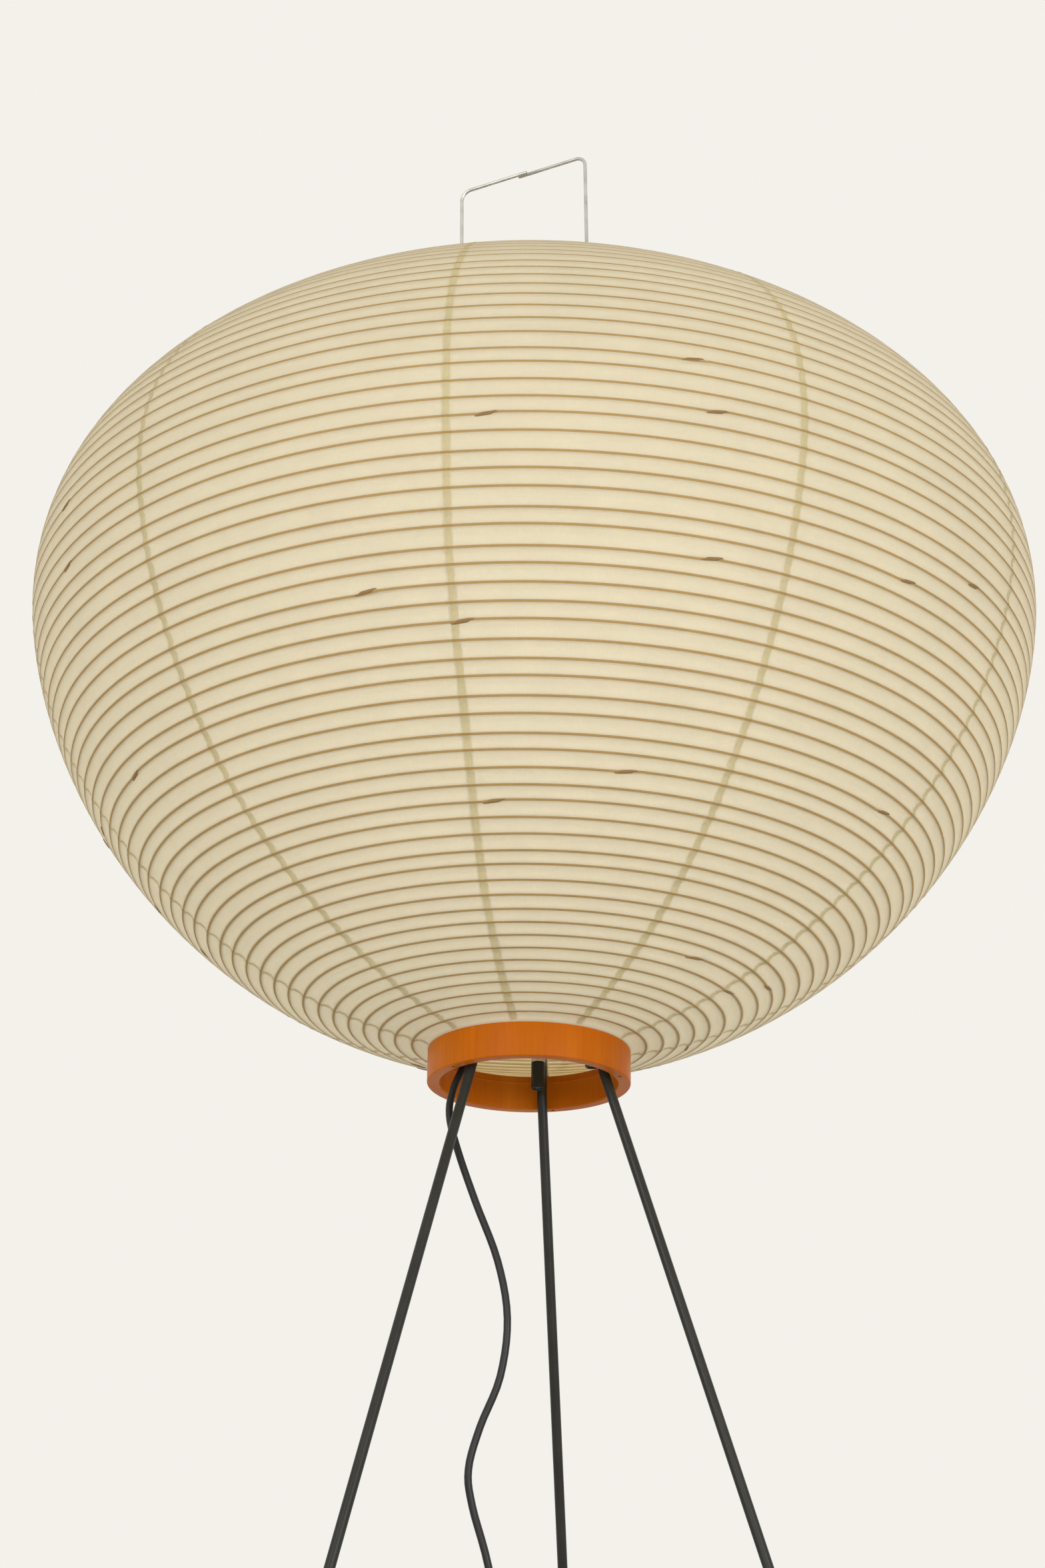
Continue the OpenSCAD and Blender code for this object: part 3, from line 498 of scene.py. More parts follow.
def bent_rod(name, start, heading, diameter, moves, sides):
    """A round rod drawn in the XZ plane from start.

    A move is ("run", length) or ("bend", degrees to the left, radius), cut every 6 degrees.
    """
    piece = started(name, bpy.ops.mesh.primitive_circle_add, vertices=sides, radius=diameter / 2,
                    fill_type="NGON")
    ahead = Vector((math.cos(heading), 0, math.sin(heading)))
    at = Vector((start[0], 0, start[1]))
    placed(piece, Vector((0, 0, 1)).rotation_difference(ahead).to_matrix().to_4x4())
    placed(piece, Matrix.Translation(at))
    edit_all()
    for kind, amount, *radius in moves:
        if kind == "run":
            bpy.ops.mesh.extrude_region_move(TRANSFORM_OT_translate={"value": ahead * amount})
            at = at + ahead * amount
        else:
            centre = at + Vector((-ahead.z, 0, ahead.x)) * radius[0]
            turn = math.radians(amount)
            bpy.ops.mesh.spin(steps=max(4, round(amount / 6)), angle=turn, center=centre, axis=(0, 1, 0))
            about = Matrix.Rotation(-turn, 3, "Y")
            at = centre + about @ (at - centre)
            ahead = about @ ahead
    return close_up(piece)


def placed(piece, matrix):
    """The piece with a move or turn put into its mesh."""
    piece.data.transform(matrix)
    return piece


def copied(piece, name, matrix):
    """A copy with its own mesh, moved or turned by the matrix."""
    twin = piece.copy()
    twin.data = piece.data.copy()
    bpy.context.collection.objects.link(twin)
    twin.name = name
    twin.data.name = name
    return placed(twin, matrix)


def dress(piece, material, body, replaces=()):
    """Gives a finished piece its material, if it has none, and its place on the CAD bodies."""
    if not piece.data.materials:
        piece.data.materials.append(finishes()[material])
    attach(piece, body)
    if replaces:
        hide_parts(*replaces)
    return piece


def turn_z(degrees):
    return Matrix.Rotation(math.radians(degrees), 4, "Z")


# ---- The shade's surface ----

LOW_ANGLE = math.acos(HOOP_R / SHADE_R)
TOP_ANGLE = math.acos(OPENING_R / SHADE_R)
LOW_REACH = (WIDEST_Z - HOOP_TOP) / math.sin(LOW_ANGLE) ** (2 / LOW_ROUND)
TOP_REACH = (SHADE_TOP - WIDEST_Z) / math.sin(TOP_ANGLE) ** (2 / TOP_ROUND)
# Steps along the meridian
STEPS = 600


def meridian(a):
    """Radius and height of the shade at the angle a, which is 0 at the widest rib."""
    if a < 0:
        return SHADE_R * math.cos(a), WIDEST_Z - LOW_REACH * math.sin(-a) ** (2 / LOW_ROUND)
    return SHADE_R * math.cos(a), WIDEST_Z + TOP_REACH * math.sin(a) ** (2 / TOP_ROUND)


def length_table():
    """Length along the meridian at each of its steps."""
    points = [meridian(-LOW_ANGLE + (LOW_ANGLE + TOP_ANGLE) * i / STEPS) for i in range(STEPS + 1)]
    table = [0.0]
    for a, b in zip(points, points[1:]):
        table.append(table[-1] + math.dist(a, b))
    return table


LENGTHS = length_table()
BAY_LENGTH = LENGTHS[-1] / BAYS


def shade_point(bay, depth=0.0):
    """Point of the meridian that many bays up from the hoop, set inwards by the depth."""
    wanted = min(max(bay, 0), BAYS) * BAY_LENGTH
    i = min(max(bisect.bisect_left(LENGTHS, wanted), 1), STEPS)
    share = (wanted - LENGTHS[i - 1]) / (LENGTHS[i] - LENGTHS[i - 1])
    step = (LOW_ANGLE + TOP_ANGLE) / STEPS
    a = -LOW_ANGLE + step * (i - 1 + min(share, 1))
    r, z = meridian(a)
    if not depth:
        return r, z
    before, after = meridian(max(a - step, -LOW_ANGLE)), meridian(min(a + step, TOP_ANGLE))
    run = math.dist(before, after)
    return r - depth * (after[1] - before[1]) / run, z + depth * (after[0] - before[0]) / run


# Paper flange on the hoop's top face and its rounded edge
FLANGE_W = 1.5 * MM
FLANGE_DROP = 0.8 * MM
HAIR = 0.02 * MM
# Splices seen in front: rib counted from the hoop, and azimuth
SEEN_SPLICES = {
    42: -75, 38: -95, 39: -72.5, 31: -71.7, 33: -47.2, 35: -36, 29: -108.4, 27: -98, 41: -150.3,
    37: -150.2, 19: -77.4, 17: -95.7, 21: -33.8, 24: -152.3, 8: -47.1, 7: -24.4, 9: -14.2}
REAR_SPLICES = (12, 192)
# How far a rib strays, in bays: as a whole, aslant, and from end to end
RIB_DRIFT = 0.05
RIB_TILT = 0.035
RIB_CLIMB = 0.11
# Paper this near to a rib, in bays, moves with that rib alone
NEAR_RIB = 0.15


@functools.cache
def splice_azimuth(rib):
    """Azimuth of a rib's splice."""
    if rib in SEEN_SPLICES:
        return SEEN_SPLICES[rib]
    return random.Random(rib * 7 + 3).uniform(*REAR_SPLICES)


@functools.cache
def rib_wander(rib):
    """A rib's drift and tilt, in bays, and the azimuth about which it tilts."""
    chance = random.Random(rib * 13 + 1)
    return chance.uniform(-RIB_DRIFT, RIB_DRIFT), chance.uniform(0, RIB_TILT), chance.uniform(0, 360)


def rib_rise(rib, azimuth):
    """How far a rib stands off its even place, in bays: it climbs past its own other end."""
    if rib < 1 or rib > BAYS - 1:
        return 0.0
    drift, tilt, phase = rib_wander(rib)
    share = ((azimuth - splice_azimuth(rib)) % 360) / 360
    return drift + tilt * math.sin(math.radians(azimuth - phase)) + RIB_CLIMB * (0.5 - share)


def surface_bay(bay, azimuth):
    """The bay's place, moved with the ribs on its two sides."""
    nearest = round(bay)
    if abs(bay - nearest) < NEAR_RIB:
        return bay + rib_rise(nearest, azimuth)
    under = math.floor(bay)
    share = bay - under
    return bay + (1 - share) * rib_rise(under, azimuth) + share * rib_rise(under + 1, azimuth)


def drawn_in(bay, sag):
    """Depth of the paper at this place between two ribs."""
    share = bay - math.floor(bay)
    return sag * 4 * share * (1 - share)


def around(point, azimuth):
    """A point of the meridian, (radius, height), at this azimuth."""
    r, z = point
    a = math.radians(azimuth)
    return Vector((r * math.cos(a), r * math.sin(a), z))


def on_shade(bay, azimuth, depth=0.0):
    """A place on the paper, set inwards by the depth."""
    return around(shade_point(surface_bay(bay, azimuth), depth), azimuth)


def paper_rows(sizes):
    """Rows of the paper's outside as (bay, is the row at a rib's line)."""
    edge = sizes.rib_line / 2 / BAY_LENGTH
    rows = [(0.0, False)]
    for rib in range(BAYS):
        if rib:
            rows += [(rib - edge, True), (rib + edge, True)]
        rows += [(rib + 0.33, False), (rib + 0.67, False)]
    return rows + [(float(BAYS), False)]


class LANTERN_OT_paper(bpy.types.Operator):
    """Model the paper skin, drawn in between its ribs."""
    bl_idname = "lantern.paper"
    bl_label = "Paper skin"

    def execute(self, context):
        sizes = context.scene.lantern_sizes
        outside = paper_rows(sizes)
        inside = [b / 2 for b in range(2 * BAYS, -1, -1)]
        flange = [
            (HOOP_R - FLANGE_W, HOOP_TOP + sizes.paper_t), (HOOP_R - FLANGE_W, HOOP_TOP + HAIR),
            (HOOP_R - FLANGE_DROP, HOOP_TOP + HAIR), (HOOP_R + 2 * HAIR, HOOP_TOP - FLANGE_DROP)]
        outline = [shade_point(bay) for bay, _ in outside]
        outline += [shade_point(bay, sizes.paper_t) for bay in inside] + flange
        paper = turned("shade_paper", outline, steps=192)
        mesh = paper.data
        row_of = take_rows(mesh)
        for vert, row in zip(mesh.vertices, row_of):
            if row >= len(outside) + len(inside):
                continue
            if row < len(outside):
                bay, at_rib = outside[row]
                depth = 0.0 if at_rib else drawn_in(bay, sizes.sag)
            else:
                bay = inside[row - len(outside)]
                depth = sizes.paper_t + (sizes.sag if bay % 1 else 0.0)
            vert.co = on_shade(bay, azimuth_of(vert.co), depth)
            vert.co.z = max(vert.co.z, HOOP_TOP + HAIR)
        for name in ("paper", "paper_over_rib", "paper_inside"):
            mesh.materials.append(finishes()[name])
        # Faces on a rib's line get the paper over a rib, with its painted shade
        for face in mesh.polygons:
            spanned = {row_of[v] for v in face.vertices}
            if min(spanned) >= len(outside):
                face.material_index = 2
            elif max(spanned) < len(outside) and all(outside[row][1] for row in spanned):
                face.material_index = 1
        dress(smooth(paper, 75), "paper", "shade_unit", GORES)
        return {"FINISHED"}


FIRST_SEAM = -99.0
LAP_COLUMNS = 3
# A lap starts this many bays above the hoop, and its edges are sunk into the skin
LAP_START = 0.02
LAP_SUNK = 0.12 * MM
LAP_WANDER = 1.6 * MM
LAP_RAGGED = 0.35 * MM


def lap(gore, sizes):
    """One lap between two gores, wandering a little."""
    rows = [(LAP_START, False)] + paper_rows(sizes)[1:]
    azimuth = FIRST_SEAM + 360 / sizes.gores * gore
    strip = started(f"lap_{gore}", bpy.ops.mesh.primitive_grid_add, x_subdivisions=LAP_COLUMNS,
                    y_subdivisions=len(rows) - 1, size=1)
    mesh = strip.data
    for vert in mesh.vertices:
        column = round((vert.co.x + 0.5) * LAP_COLUMNS)
        bay, at_rib = rows[round((vert.co.y + 0.5) * (len(rows) - 1))]
        side = column / LAP_COLUMNS - 0.5
        ragged = LAP_RAGGED * noise.noise((gore * 9.1, bay * 0.9, side * 5))
        wander = LAP_WANDER * noise.noise((gore * 3.7, bay * 0.07, 0)) + ragged
        place = azimuth + math.degrees((side * sizes.lap_w + wander) / shade_point(bay)[0])
        depth = -sizes.lap_t if 0 < column < LAP_COLUMNS else LAP_SUNK
        depth += 0.0 if at_rib else drawn_in(bay, sizes.sag)
        vert.co = on_shade(bay, place, depth)
    mesh.materials.append(finishes()["paper_lap"])
    mesh.materials.append(finishes()["paper_over_rib"])
    for face in mesh.polygons:
        spanned = {v // (LAP_COLUMNS + 1) for v in face.vertices}
        face.material_index = 1 if all(rows[row][1] for row in spanned) else 0
    return strip


SPLICE_COLUMNS = 8
SPLICE_ROWS = 4
SPLICE_RISE = 0.55 * MM
SPLICE_SUNK = 0.15 * MM
# How far the bump leans to the right, and how much higher its right end is, in bays
SPLICE_SLANT = 1.2 * MM
SPLICE_LEAN = 0.07


def splice_bump(rib, sizes):
    """The paper's bump over a rib's two ends; u runs along the rib and v across it, -1 to 1."""
    bump = started(f"splice_{rib}", bpy.ops.mesh.primitive_grid_add, x_subdivisions=SPLICE_COLUMNS,
                   y_subdivisions=SPLICE_ROWS, size=1)
    r = shade_point(rib)[0]
    for vert in bump.data.vertices:
        u, v = vert.co.x * 2, vert.co.y * 2
        swell = max(0.0, 1 - abs(u) ** 6) ** 0.5 * max(0.0, 1 - v * v) ** 0.5
        place = splice_azimuth(rib) + math.degrees((u * sizes.splice_l / 2 + v * SPLICE_SLANT) / r)
        half_w = sizes.splice_w / 2 / BAY_LENGTH * max(0.0, 1 - abs(u) ** 5) ** 0.5
        bay = rib + v * half_w + u * SPLICE_LEAN
        vert.co = around(shade_point(bay, SPLICE_SUNK - SPLICE_RISE * swell), place)
    return bump


class LANTERN_OT_laps(bpy.types.Operator):
    """Model the laps between the gores and the paper's bumps over the ribs' spliced ends."""
    bl_idname = "lantern.laps"
    bl_label = "Gore laps and splices"

    def execute(self, context):
        sizes = context.scene.lantern_sizes
        laps = joined([lap(gore, sizes) for gore in range(sizes.gores)], "shade_laps")
        dress(smooth(laps, 75), "paper_lap", "shade_unit")
        splices = joined([splice_bump(rib, sizes) for rib in range(1, BAYS)], "shade_splices")
        dress(smooth(splices, 180), "paper_over_splice", "shade_unit")
        return {"FINISHED"}


RIB_SIDES = 6


class LANTERN_OT_ribs(bpy.types.Operator):
    """Model the bamboo ribs, each a hoop whose ends lie side by side."""
    bl_idname = "lantern.ribs"
    bl_label = "Bamboo ribs"

    def execute(self, context):
        sizes = context.scene.lantern_sizes
        sections = []
        for rib in range(1, BAYS):
            section = started(f"section_{rib}", bpy.ops.mesh.primitive_circle_add, vertices=RIB_SIDES,
                              radius=sizes.rib_d / 2)
            r, z = shade_point(rib, sizes.paper_t + sizes.rib_d / 2)
            placed(section, Matrix.Translation((r, 0, z)) @ Matrix.Rotation(math.pi / 2, 4, "X"))
            number_rows(section.data, [rib] * RIB_SIDES)
            sections.append(section)
        ribs = spun(joined(sections, "bamboo_hoops"), steps=96)
        rib_of = take_rows(ribs.data)
        for vert, rib in zip(ribs.data.vertices, rib_of):
            azimuth = azimuth_of(vert.co)
            moved = shade_point(rib + rib_rise(rib, azimuth))
            vert.co += around(moved, azimuth) - around(shade_point(rib), azimuth)
        dress(smooth(ribs, 80), "bamboo", "shade_unit", ["bamboo_ribs"])
        return {"FINISHED"}


# ---- Stand and hoop ----

LEG_TOP_R = 38 * MM
LEG_TOP = high("leg_rear").z
LEG_SPLAY = 17.8
SPLAY = math.radians(LEG_SPLAY)
LEG_BEND_R = 12 * MM
LEG_STRAIGHT = LEG_TOP - HOOP_TOP + 10.5 * MM
LEG_BEND_END = LEG_TOP - LEG_STRAIGHT - LEG_BEND_R * math.sin(SPLAY)
FOOT_SOLE = 4 * MM
FOOT_AT_R = LEG_TOP_R + LEG_BEND_R * (1 - math.cos(SPLAY)) + LEG_BEND_END * math.tan(SPLAY)


def foot_azimuth(side):
    """Azimuth of a foot's sole."""
    sole = [v.co for v in NODES["foot_" + side].data.vertices if v.co.z < 0.05 * MM]
    return azimuth_of(sum(sole, Vector()) / len(sole))


HOOP_WALL = 6.3 * MM
HOOP_EDGE_R = 0.8 * MM
# Step for the spider inside its upper edge, and the slope under it in millimetres
STEP_W = 0.8 * MM
STEP_H = 3.4 * MM
STEP_EDGE_R = 0.3 * MM
STEP_SLOPE = ((0.2, 0.6), (0, 1.0))
# Holes in its underside, in degrees beside a leg
HOLE_R = 1 * MM
HOLE_DEPTH = 6 * MM
HOLE_ASIDE = 5


class LANTERN_OT_hoop(bpy.types.Operator):
    """Model the stained wooden hoop with its step and its small holes."""
    bl_idname = "lantern.hoop"
    bl_label = "Wooden hoop"

    def execute(self, context):
        bottom = low("wooden_hoop").z
        inner = HOOP_R - HOOP_WALL
        e = HOOP_EDGE_R
        outline = arc(inner + e, bottom + e, e, 180, 270) + arc(HOOP_R - e, bottom + e, e, 270, 360)
        outline += arc(HOOP_R - e, HOOP_TOP - e, e, 0, 90)
        outline += arc(inner + STEP_W + STEP_EDGE_R, HOOP_TOP - STEP_EDGE_R, STEP_EDGE_R, 90, 180, 3)
        outline.append((inner + STEP_W, HOOP_TOP - STEP_H))
        outline += [(inner + out * MM, HOOP_TOP - STEP_H - down * MM) for out, down in STEP_SLOPE]
        hoop = turned("hoop_ring", outline, steps=160)
        for side in SIDES:
            place = turn_z(foot_azimuth(side) - HOLE_ASIDE) @ Vector((HOOP_R - HOOP_WALL / 2, 0, bottom))
            drill = started("drill", bpy.ops.mesh.primitive_cylinder_add, vertices=20, radius=HOLE_R,
                            depth=2 * HOLE_DEPTH, location=place)
            modified(hoop, "BOOLEAN", operation="DIFFERENCE", solver="EXACT", object=drill)
            bpy.data.objects.remove(drill)
        dress(smooth(hoop, 30), "hoop_wood", "shade_unit", ["wooden_hoop"])
        return {"FINISHED"}


SOCKET_TOP = high("socket_rear").z
SOCKET_LOW = low("socket_rear").z
SOCKET_R = 3.5 * MM
SOCKET_BORE_R = 2.35 * MM
SOCKET_RIM = 0.4 * MM
# Beads of weld between a rod and its socket
WELD_BEADS = 5
WELD_START = 1.2 * MM
WELD_PITCH = 1.9 * MM
WELD_SIZE = (1.9 * MM, 1.9 * MM, 1.3 * MM)


def bead(place, size, seed):
    """A small lumpy weld bead."""
    piece = started("bead", bpy.ops.mesh.primitive_ico_sphere_add, subdivisions=3, radius=1)
    for vert in piece.data.vertices:
        bulge = 1 + 0.22 * noise.noise(vert.co * 2.2 + Vector((seed, 0, 0)))
        vert.co = Vector(place) + Vector([c * s * bulge for c, s in zip(vert.co, size)])
    return piece


class LANTERN_OT_stand(bpy.types.Operator):
    """Model the three rods with their welded sockets."""
    bl_idname = "lantern.stand"
    bl_label = "Stand"

    def execute(self, context):
        leg_d = context.scene.lantern_sizes.leg_d
        run = (LEG_BEND_END - FOOT_SOLE) / math.cos(SPLAY)
        moves = [("run", LEG_STRAIGHT), ("bend", LEG_SPLAY, LEG_BEND_R), ("run", run)]
        rod = bent_rod("rod", (LEG_TOP_R, LEG_TOP), -math.pi / 2, leg_d, moves, 28)
        soften(rod, 0.5 * MM, 2, 60)
        wide, bore, rim = SOCKET_R, SOCKET_BORE_R, SOCKET_RIM
        outline = [
            (bore, SOCKET_TOP - rim), (bore + rim, SOCKET_TOP), (wide - rim, SOCKET_TOP),
            (wide, SOCKET_TOP - rim), (wide, SOCKET_LOW + rim), (wide - rim, SOCKET_LOW),
            (bore + rim, SOCKET_LOW), (bore, SOCKET_LOW + rim)]
        tube = turned("tube", outline, steps=32)
        for side in SIDES:
            azimuth = foot_azimuth(side)
            leg = copied(rod, "rod_" + side, turn_z(azimuth))
            dress(smooth(leg, 40), "black_steel", "stand", ["leg_" + side])
            centre = middle("socket_" + side)
            centre.z = 0
            socket = copied(tube, "socket_tube_" + side, Matrix.Translation(centre))
            leg_centre = turn_z(azimuth) @ Vector((LEG_TOP_R, 0, 0))
            touch = leg_centre.lerp(centre, leg_d / (leg_d + 2 * SOCKET_R))
            beads = []
            for n in range(WELD_BEADS):
                touch.z = SOCKET_LOW + WELD_START + WELD_PITCH * n
                beads.append(bead(touch, WELD_SIZE, n + azimuth))
            socket = smooth(joined([socket] + beads, "socket_tube_" + side), 40)
            dress(socket, "black_steel", "stand", ["socket_" + side])
        bpy.data.objects.remove(rod)
        bpy.data.objects.remove(tube)
        return {"FINISHED"}


# A foot along its rod, with the floor at 0, before it is cut level
FOOT_R = 5.5 * MM
FOOT_LOW = -8 * MM
FOOT_TOP = 22 * MM
FOOT_ROLL_R = 1 * MM
# Its side below the rolled rim, as (inwards, height) in millimetres
FOOT_TAPER = ((0.7, 19), (0.5, 18.4), (0.2, 16), (0.1, 8), (0, 6))


class LANTERN_OT_feet(bpy.types.Operator):
    """Model the rubber feet: caps with a rolled rim, cut level at the floor."""
    bl_idname = "lantern.feet"
    bl_label = "Rubber feet"

    def execute(self, context):
        rod_r = context.scene.lantern_sizes.leg_d / 2
        roll_z = FOOT_TOP - FOOT_ROLL_R
        outline = [(rod_r, roll_z), (rod_r + 0.3 * MM, FOOT_TOP)]
        outline += arc(FOOT_R - 1.7 * MM, roll_z, FOOT_ROLL_R, 90, 0)
        outline += [(FOOT_R - inwards * MM, z * MM) for inwards, z in FOOT_TAPER]
        outline += [(FOOT_R, FOOT_LOW), (0, FOOT_LOW), (0, FOOT_SOLE), (rod_r, FOOT_SOLE)]
        cap = turned("cap", outline, steps=40)
        lean = Matrix.Rotation(-SPLAY, 4, "Y")
        for side in SIDES:
            place = turn_z(foot_azimuth(side)) @ Matrix.Translation((FOOT_AT_R, 0, 0)) @ lean
            foot = copied(cap, "foot_cap_" + side, place)
            activate(foot)
            edit_all()
            bpy.ops.mesh.bisect(plane_co=(0, 0, 0), plane_no=(0, 0, 1), use_fill=True, clear_inner=True)
            bpy.ops.object.mode_set(mode="OBJECT")
            soften(foot, 0.35 * MM, 2, 50)
            dress(smooth(foot, 40), "rubber", "stand", ["foot_" + side])
        bpy.data.objects.remove(cap)
        return {"FINISHED"}


# ---- Wire stretcher ----

WIRE_AZIMUTH = -27.0
WIRE_R = 39.7 * MM
WIRE_BEND_R = 6 * MM
WIRE_FOOT_R = 14 * MM
WIRE_LAP = 6 * MM
WIRE_PRESSED = 0.05 * MM
WIRE_FOOT_Z = HOOP_TOP + 27 * MM
# The photo shows the stretcher a little aslant
WIRE_LEAN = Matrix.Translation((0, 0, WIRE_FOOT_Z)) @ Matrix.Rotation(
    math.radians(-1.05), 4, "Y") @ Matrix.Translation((0, 0, -WIRE_FOOT_Z))
# A hook runs out past the ring and turns up there
RING_R = OPENING_R - 0.5 * MM
HOOK_PAST = 2.5 * MM
HOOK_BEND = ("bend", 80, 2 * MM)
# Beads of weld on the bail: places along it, and size
BAIL_BEADS = (-1.8 * MM, 0, 1.8 * MM)
BAIL_BEAD_SIZE = (1.3 * MM, 1.5 * MM, 1.0 * MM)


class LANTERN_OT_wires(bpy.types.Operator):
    """Model the wire stretcher with its bail, and the hooks that hold the ring."""
    bl_idname = "lantern.wires"
    bl_label = "Wire stretcher"

    def execute(self, context):
        d = context.scene.lantern_sizes.wire_d
        bail_z = BAIL_TOP - d / 2
        level = WIRE_R - WIRE_BEND_R
        beside = d / 2 - WIRE_PRESSED
        moves = [("run", level - WIRE_FOOT_R), ("bend", 90, WIRE_BEND_R),
                 ("run", bail_z - WIRE_FOOT_Z - 2 * WIRE_BEND_R),
                 ("bend", 90, WIRE_BEND_R), ("run", level + WIRE_LAP / 2)]
        half = bent_rod("half", (WIRE_FOOT_R, WIRE_FOOT_Z), 0, d, moves, 18)
        placed(half, Matrix.Translation((0, beside, 0)))
        soften(half, 0.25 * MM, 2, 60)
        hook_z = middle("rim_hooks").z
        hooks = []
        for name, azimuth in (("right", WIRE_AZIMUTH), ("left", WIRE_AZIMUTH + 180)):
            wire = copied(half, "wire_" + name, WIRE_LEAN @ turn_z(azimuth))
            dress(smooth(wire, 40), "steel_wire", "shade_unit", ["stretcher_" + name])
            start = turn_z(-azimuth) @ WIRE_LEAN @ turn_z(azimuth) @ Vector((WIRE_R, beside, hook_z))
            reach = math.sqrt((RING_R + HOOK_PAST) ** 2 - start.y ** 2) - start.x
            hook = bent_rod("hook", (start.x, start.z), 0, d, [("run", reach), HOOK_BEND], 14)
            placed(hook, turn_z(azimuth) @ Matrix.Translation((0, start.y, 0)))
            hooks.append(soften(hook, 0.3 * MM, 2, 60))
        bpy.data.objects.remove(half)
        hooks = smooth(joined(hooks, "ring_hooks"), 40)
        dress(hooks, "steel_wire", "shade_unit", ["rim_hooks"])
        welds = [bead((x, 0, bail_z + 0.2 * MM), BAIL_BEAD_SIZE, n) for n, x in enumerate(BAIL_BEADS)]
        weld = placed(joined(welds, "bail_weld"), WIRE_LEAN @ turn_z(WIRE_AZIMUTH))
        dress(smooth(weld, 60), "steel_wire", "shade_unit")
        return {"FINISHED"}


# ---- Cord ----

def blended(points, parts):
    """Smooth curve through the points."""
    line = []
    for i in range(len(points) - 1):
        a, b, c, d = (Vector(points[n]) for n in (max(i - 1, 0), i, i + 1, min(i + 2, len(points) - 1)))
        for k in range(parts):
            t = k / parts
            line.append(0.5 * (2 * b + (c - a) * t + (2 * a - 5 * b + 4 * c - d) * t ** 2
                               + (3 * b - a - 3 * c + d) * t ** 3))
    return line + [Vector(points[-1])]


def coil_line(cord_d):
    """The stored loops, which spiral in and out in four layers."""
    pitch = cord_d + COIL_GAP
    per_layer = COIL_TURNS / COIL_LAYERS
    out_r = COIL_IN_R + pitch * per_layer
    centre = Vector(MIDDLE_ROUTE[-1]) + Vector((-COIL_LEAD, out_r, 0))
    line = []
    for i in range(COIL_POINTS * COIL_TURNS + 1):
        t = i / COIL_POINTS
        m = t % (2 * per_layer)
        r = out_r - pitch * (m if m < per_layer else 2 * per_layer - m)
        layer = round(t / per_layer)
        past = t - layer * per_layer
        # It climbs from layer to layer over half a turn
        if 1 <= layer < COIL_LAYERS and abs(past) <= 0.25:
            climb = layer - 0.5 + 2 * past
        else:
            climb = min(math.floor(t / per_layer + 1e-6), COIL_LAYERS - 1)
        a = math.radians(-90 - 360 * t)
        line.append(centre + Vector((r * math.cos(a), r * math.sin(a), pitch * climb)))
    return line


PLUG_EDGE_R = 2.6 * MM
PLUG_TAIL = 20 * MM
# The ribbed sleeve on its tail starts inside the block
SLEEVE_START = -2 * MM
SLEEVE_WIDE = 5.6 * MM
SLEEVE_SLIM = 3 * MM
RIDGES = 5
RIDGE_START = 1.5 * MM
RIDGE_PITCH = 3.4 * MM
# A ridge and its groove, as (inwards, along) in millimetres
RIDGE_SHAPE = ((0, 0), (0.8, 0.4), (0.9, 1.5), (0.3, 1.9))


class LANTERN_OT_plug(bpy.types.Operator):
    """Model the plug's moulded body with its ribbed tail."""
    bl_idname = "lantern.plug"
    bl_label = "Plug"

    def execute(self, context):
        near, far = low("plug_body"), high("plug_body")
        far.x -= PLUG_TAIL
        centre = (near + far) / 2
        block = started("plug_block", bpy.ops.mesh.primitive_cube_add, size=1, location=centre)
        edit_all()
        bpy.ops.transform.resize(value=far - near, center_override=centre)
        bpy.ops.object.mode_set(mode="OBJECT")
        bpy.ops.object.transform_apply()
        soften(block, PLUG_EDGE_R, 5, 40)
        outline = [(0, SLEEVE_START), (SLEEVE_WIDE, SLEEVE_START)]
        for n in range(RIDGES):
            start = RIDGE_START + RIDGE_PITCH * n
            r = SLEEVE_WIDE - (SLEEVE_WIDE - SLEEVE_SLIM) * start / PLUG_TAIL
            outline += [(r - inwards * MM, start + along * MM) for inwards, along in RIDGE_SHAPE]
        outline += [(SLEEVE_SLIM, PLUG_TAIL - 0.5 * MM), (SLEEVE_SLIM - 0.4 * MM, PLUG_TAIL),
                    (0, PLUG_TAIL)]
        sleeve = turned("plug_sleeve", outline, steps=32)
        lay = Matrix.Translation((far.x, centre.y, centre.z)) @ Matrix.Rotation(math.pi / 2, 4, "Y")
        body = joined([block, placed(sleeve, lay)], "plug_moulding")
        dress(smooth(body, 35), "switch_plastic", "stand", ["plug_body"])
        return {"FINISHED"}


class LANTERN_OT_cord(bpy.types.Operator):
    """Model the whole cord, from the strain relief to the plug."""
    bl_idname = "lantern.cord"
    bl_label = "Cord"

    def execute(self, context):
        sizes = context.scene.lantern_sizes
        line = blended(HANGING_ROUTE, 5) + blended(MIDDLE_ROUTE, 5)
        line += coil_line(sizes.cord_d) + blended(TAIL_ROUTE, 5)
        path = [line[0]]
        for point in line[1:]:
            if (point - path[-1]).length > LEAST_STEP:
                path.append(point)
        path = [tuple(point) for point in path]
        cord = started("mains_cord", bpy.ops.curve.primitive_nurbs_path_add, radius=1)
        cord.data.splines.clear()
        spline = cord.data.splines.new("POLY")
        spline.points.add(len(path) - 1)
        for point, place in zip(spline.points, path):
            point.co = (*place, 1)
        spline.use_smooth = True
        cord.data.dimensions = "3D"
        cord.data.bevel_depth = sizes.cord_d / 2
        cord.data.bevel_resolution = 4
        cord.data.use_fill_caps = True
        cord.data.materials.append(finishes()["cord_black"])
        activate(cord)
        bpy.ops.object.convert(target="MESH")
        cord = new_piece("mains_cord")
        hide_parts("cord_hanging", "cord_middle", "cord_coil", "cord_tail")
        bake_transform(cord)
        return {"FINISHED"}


# ---- CAD pieces that keep their shape ----

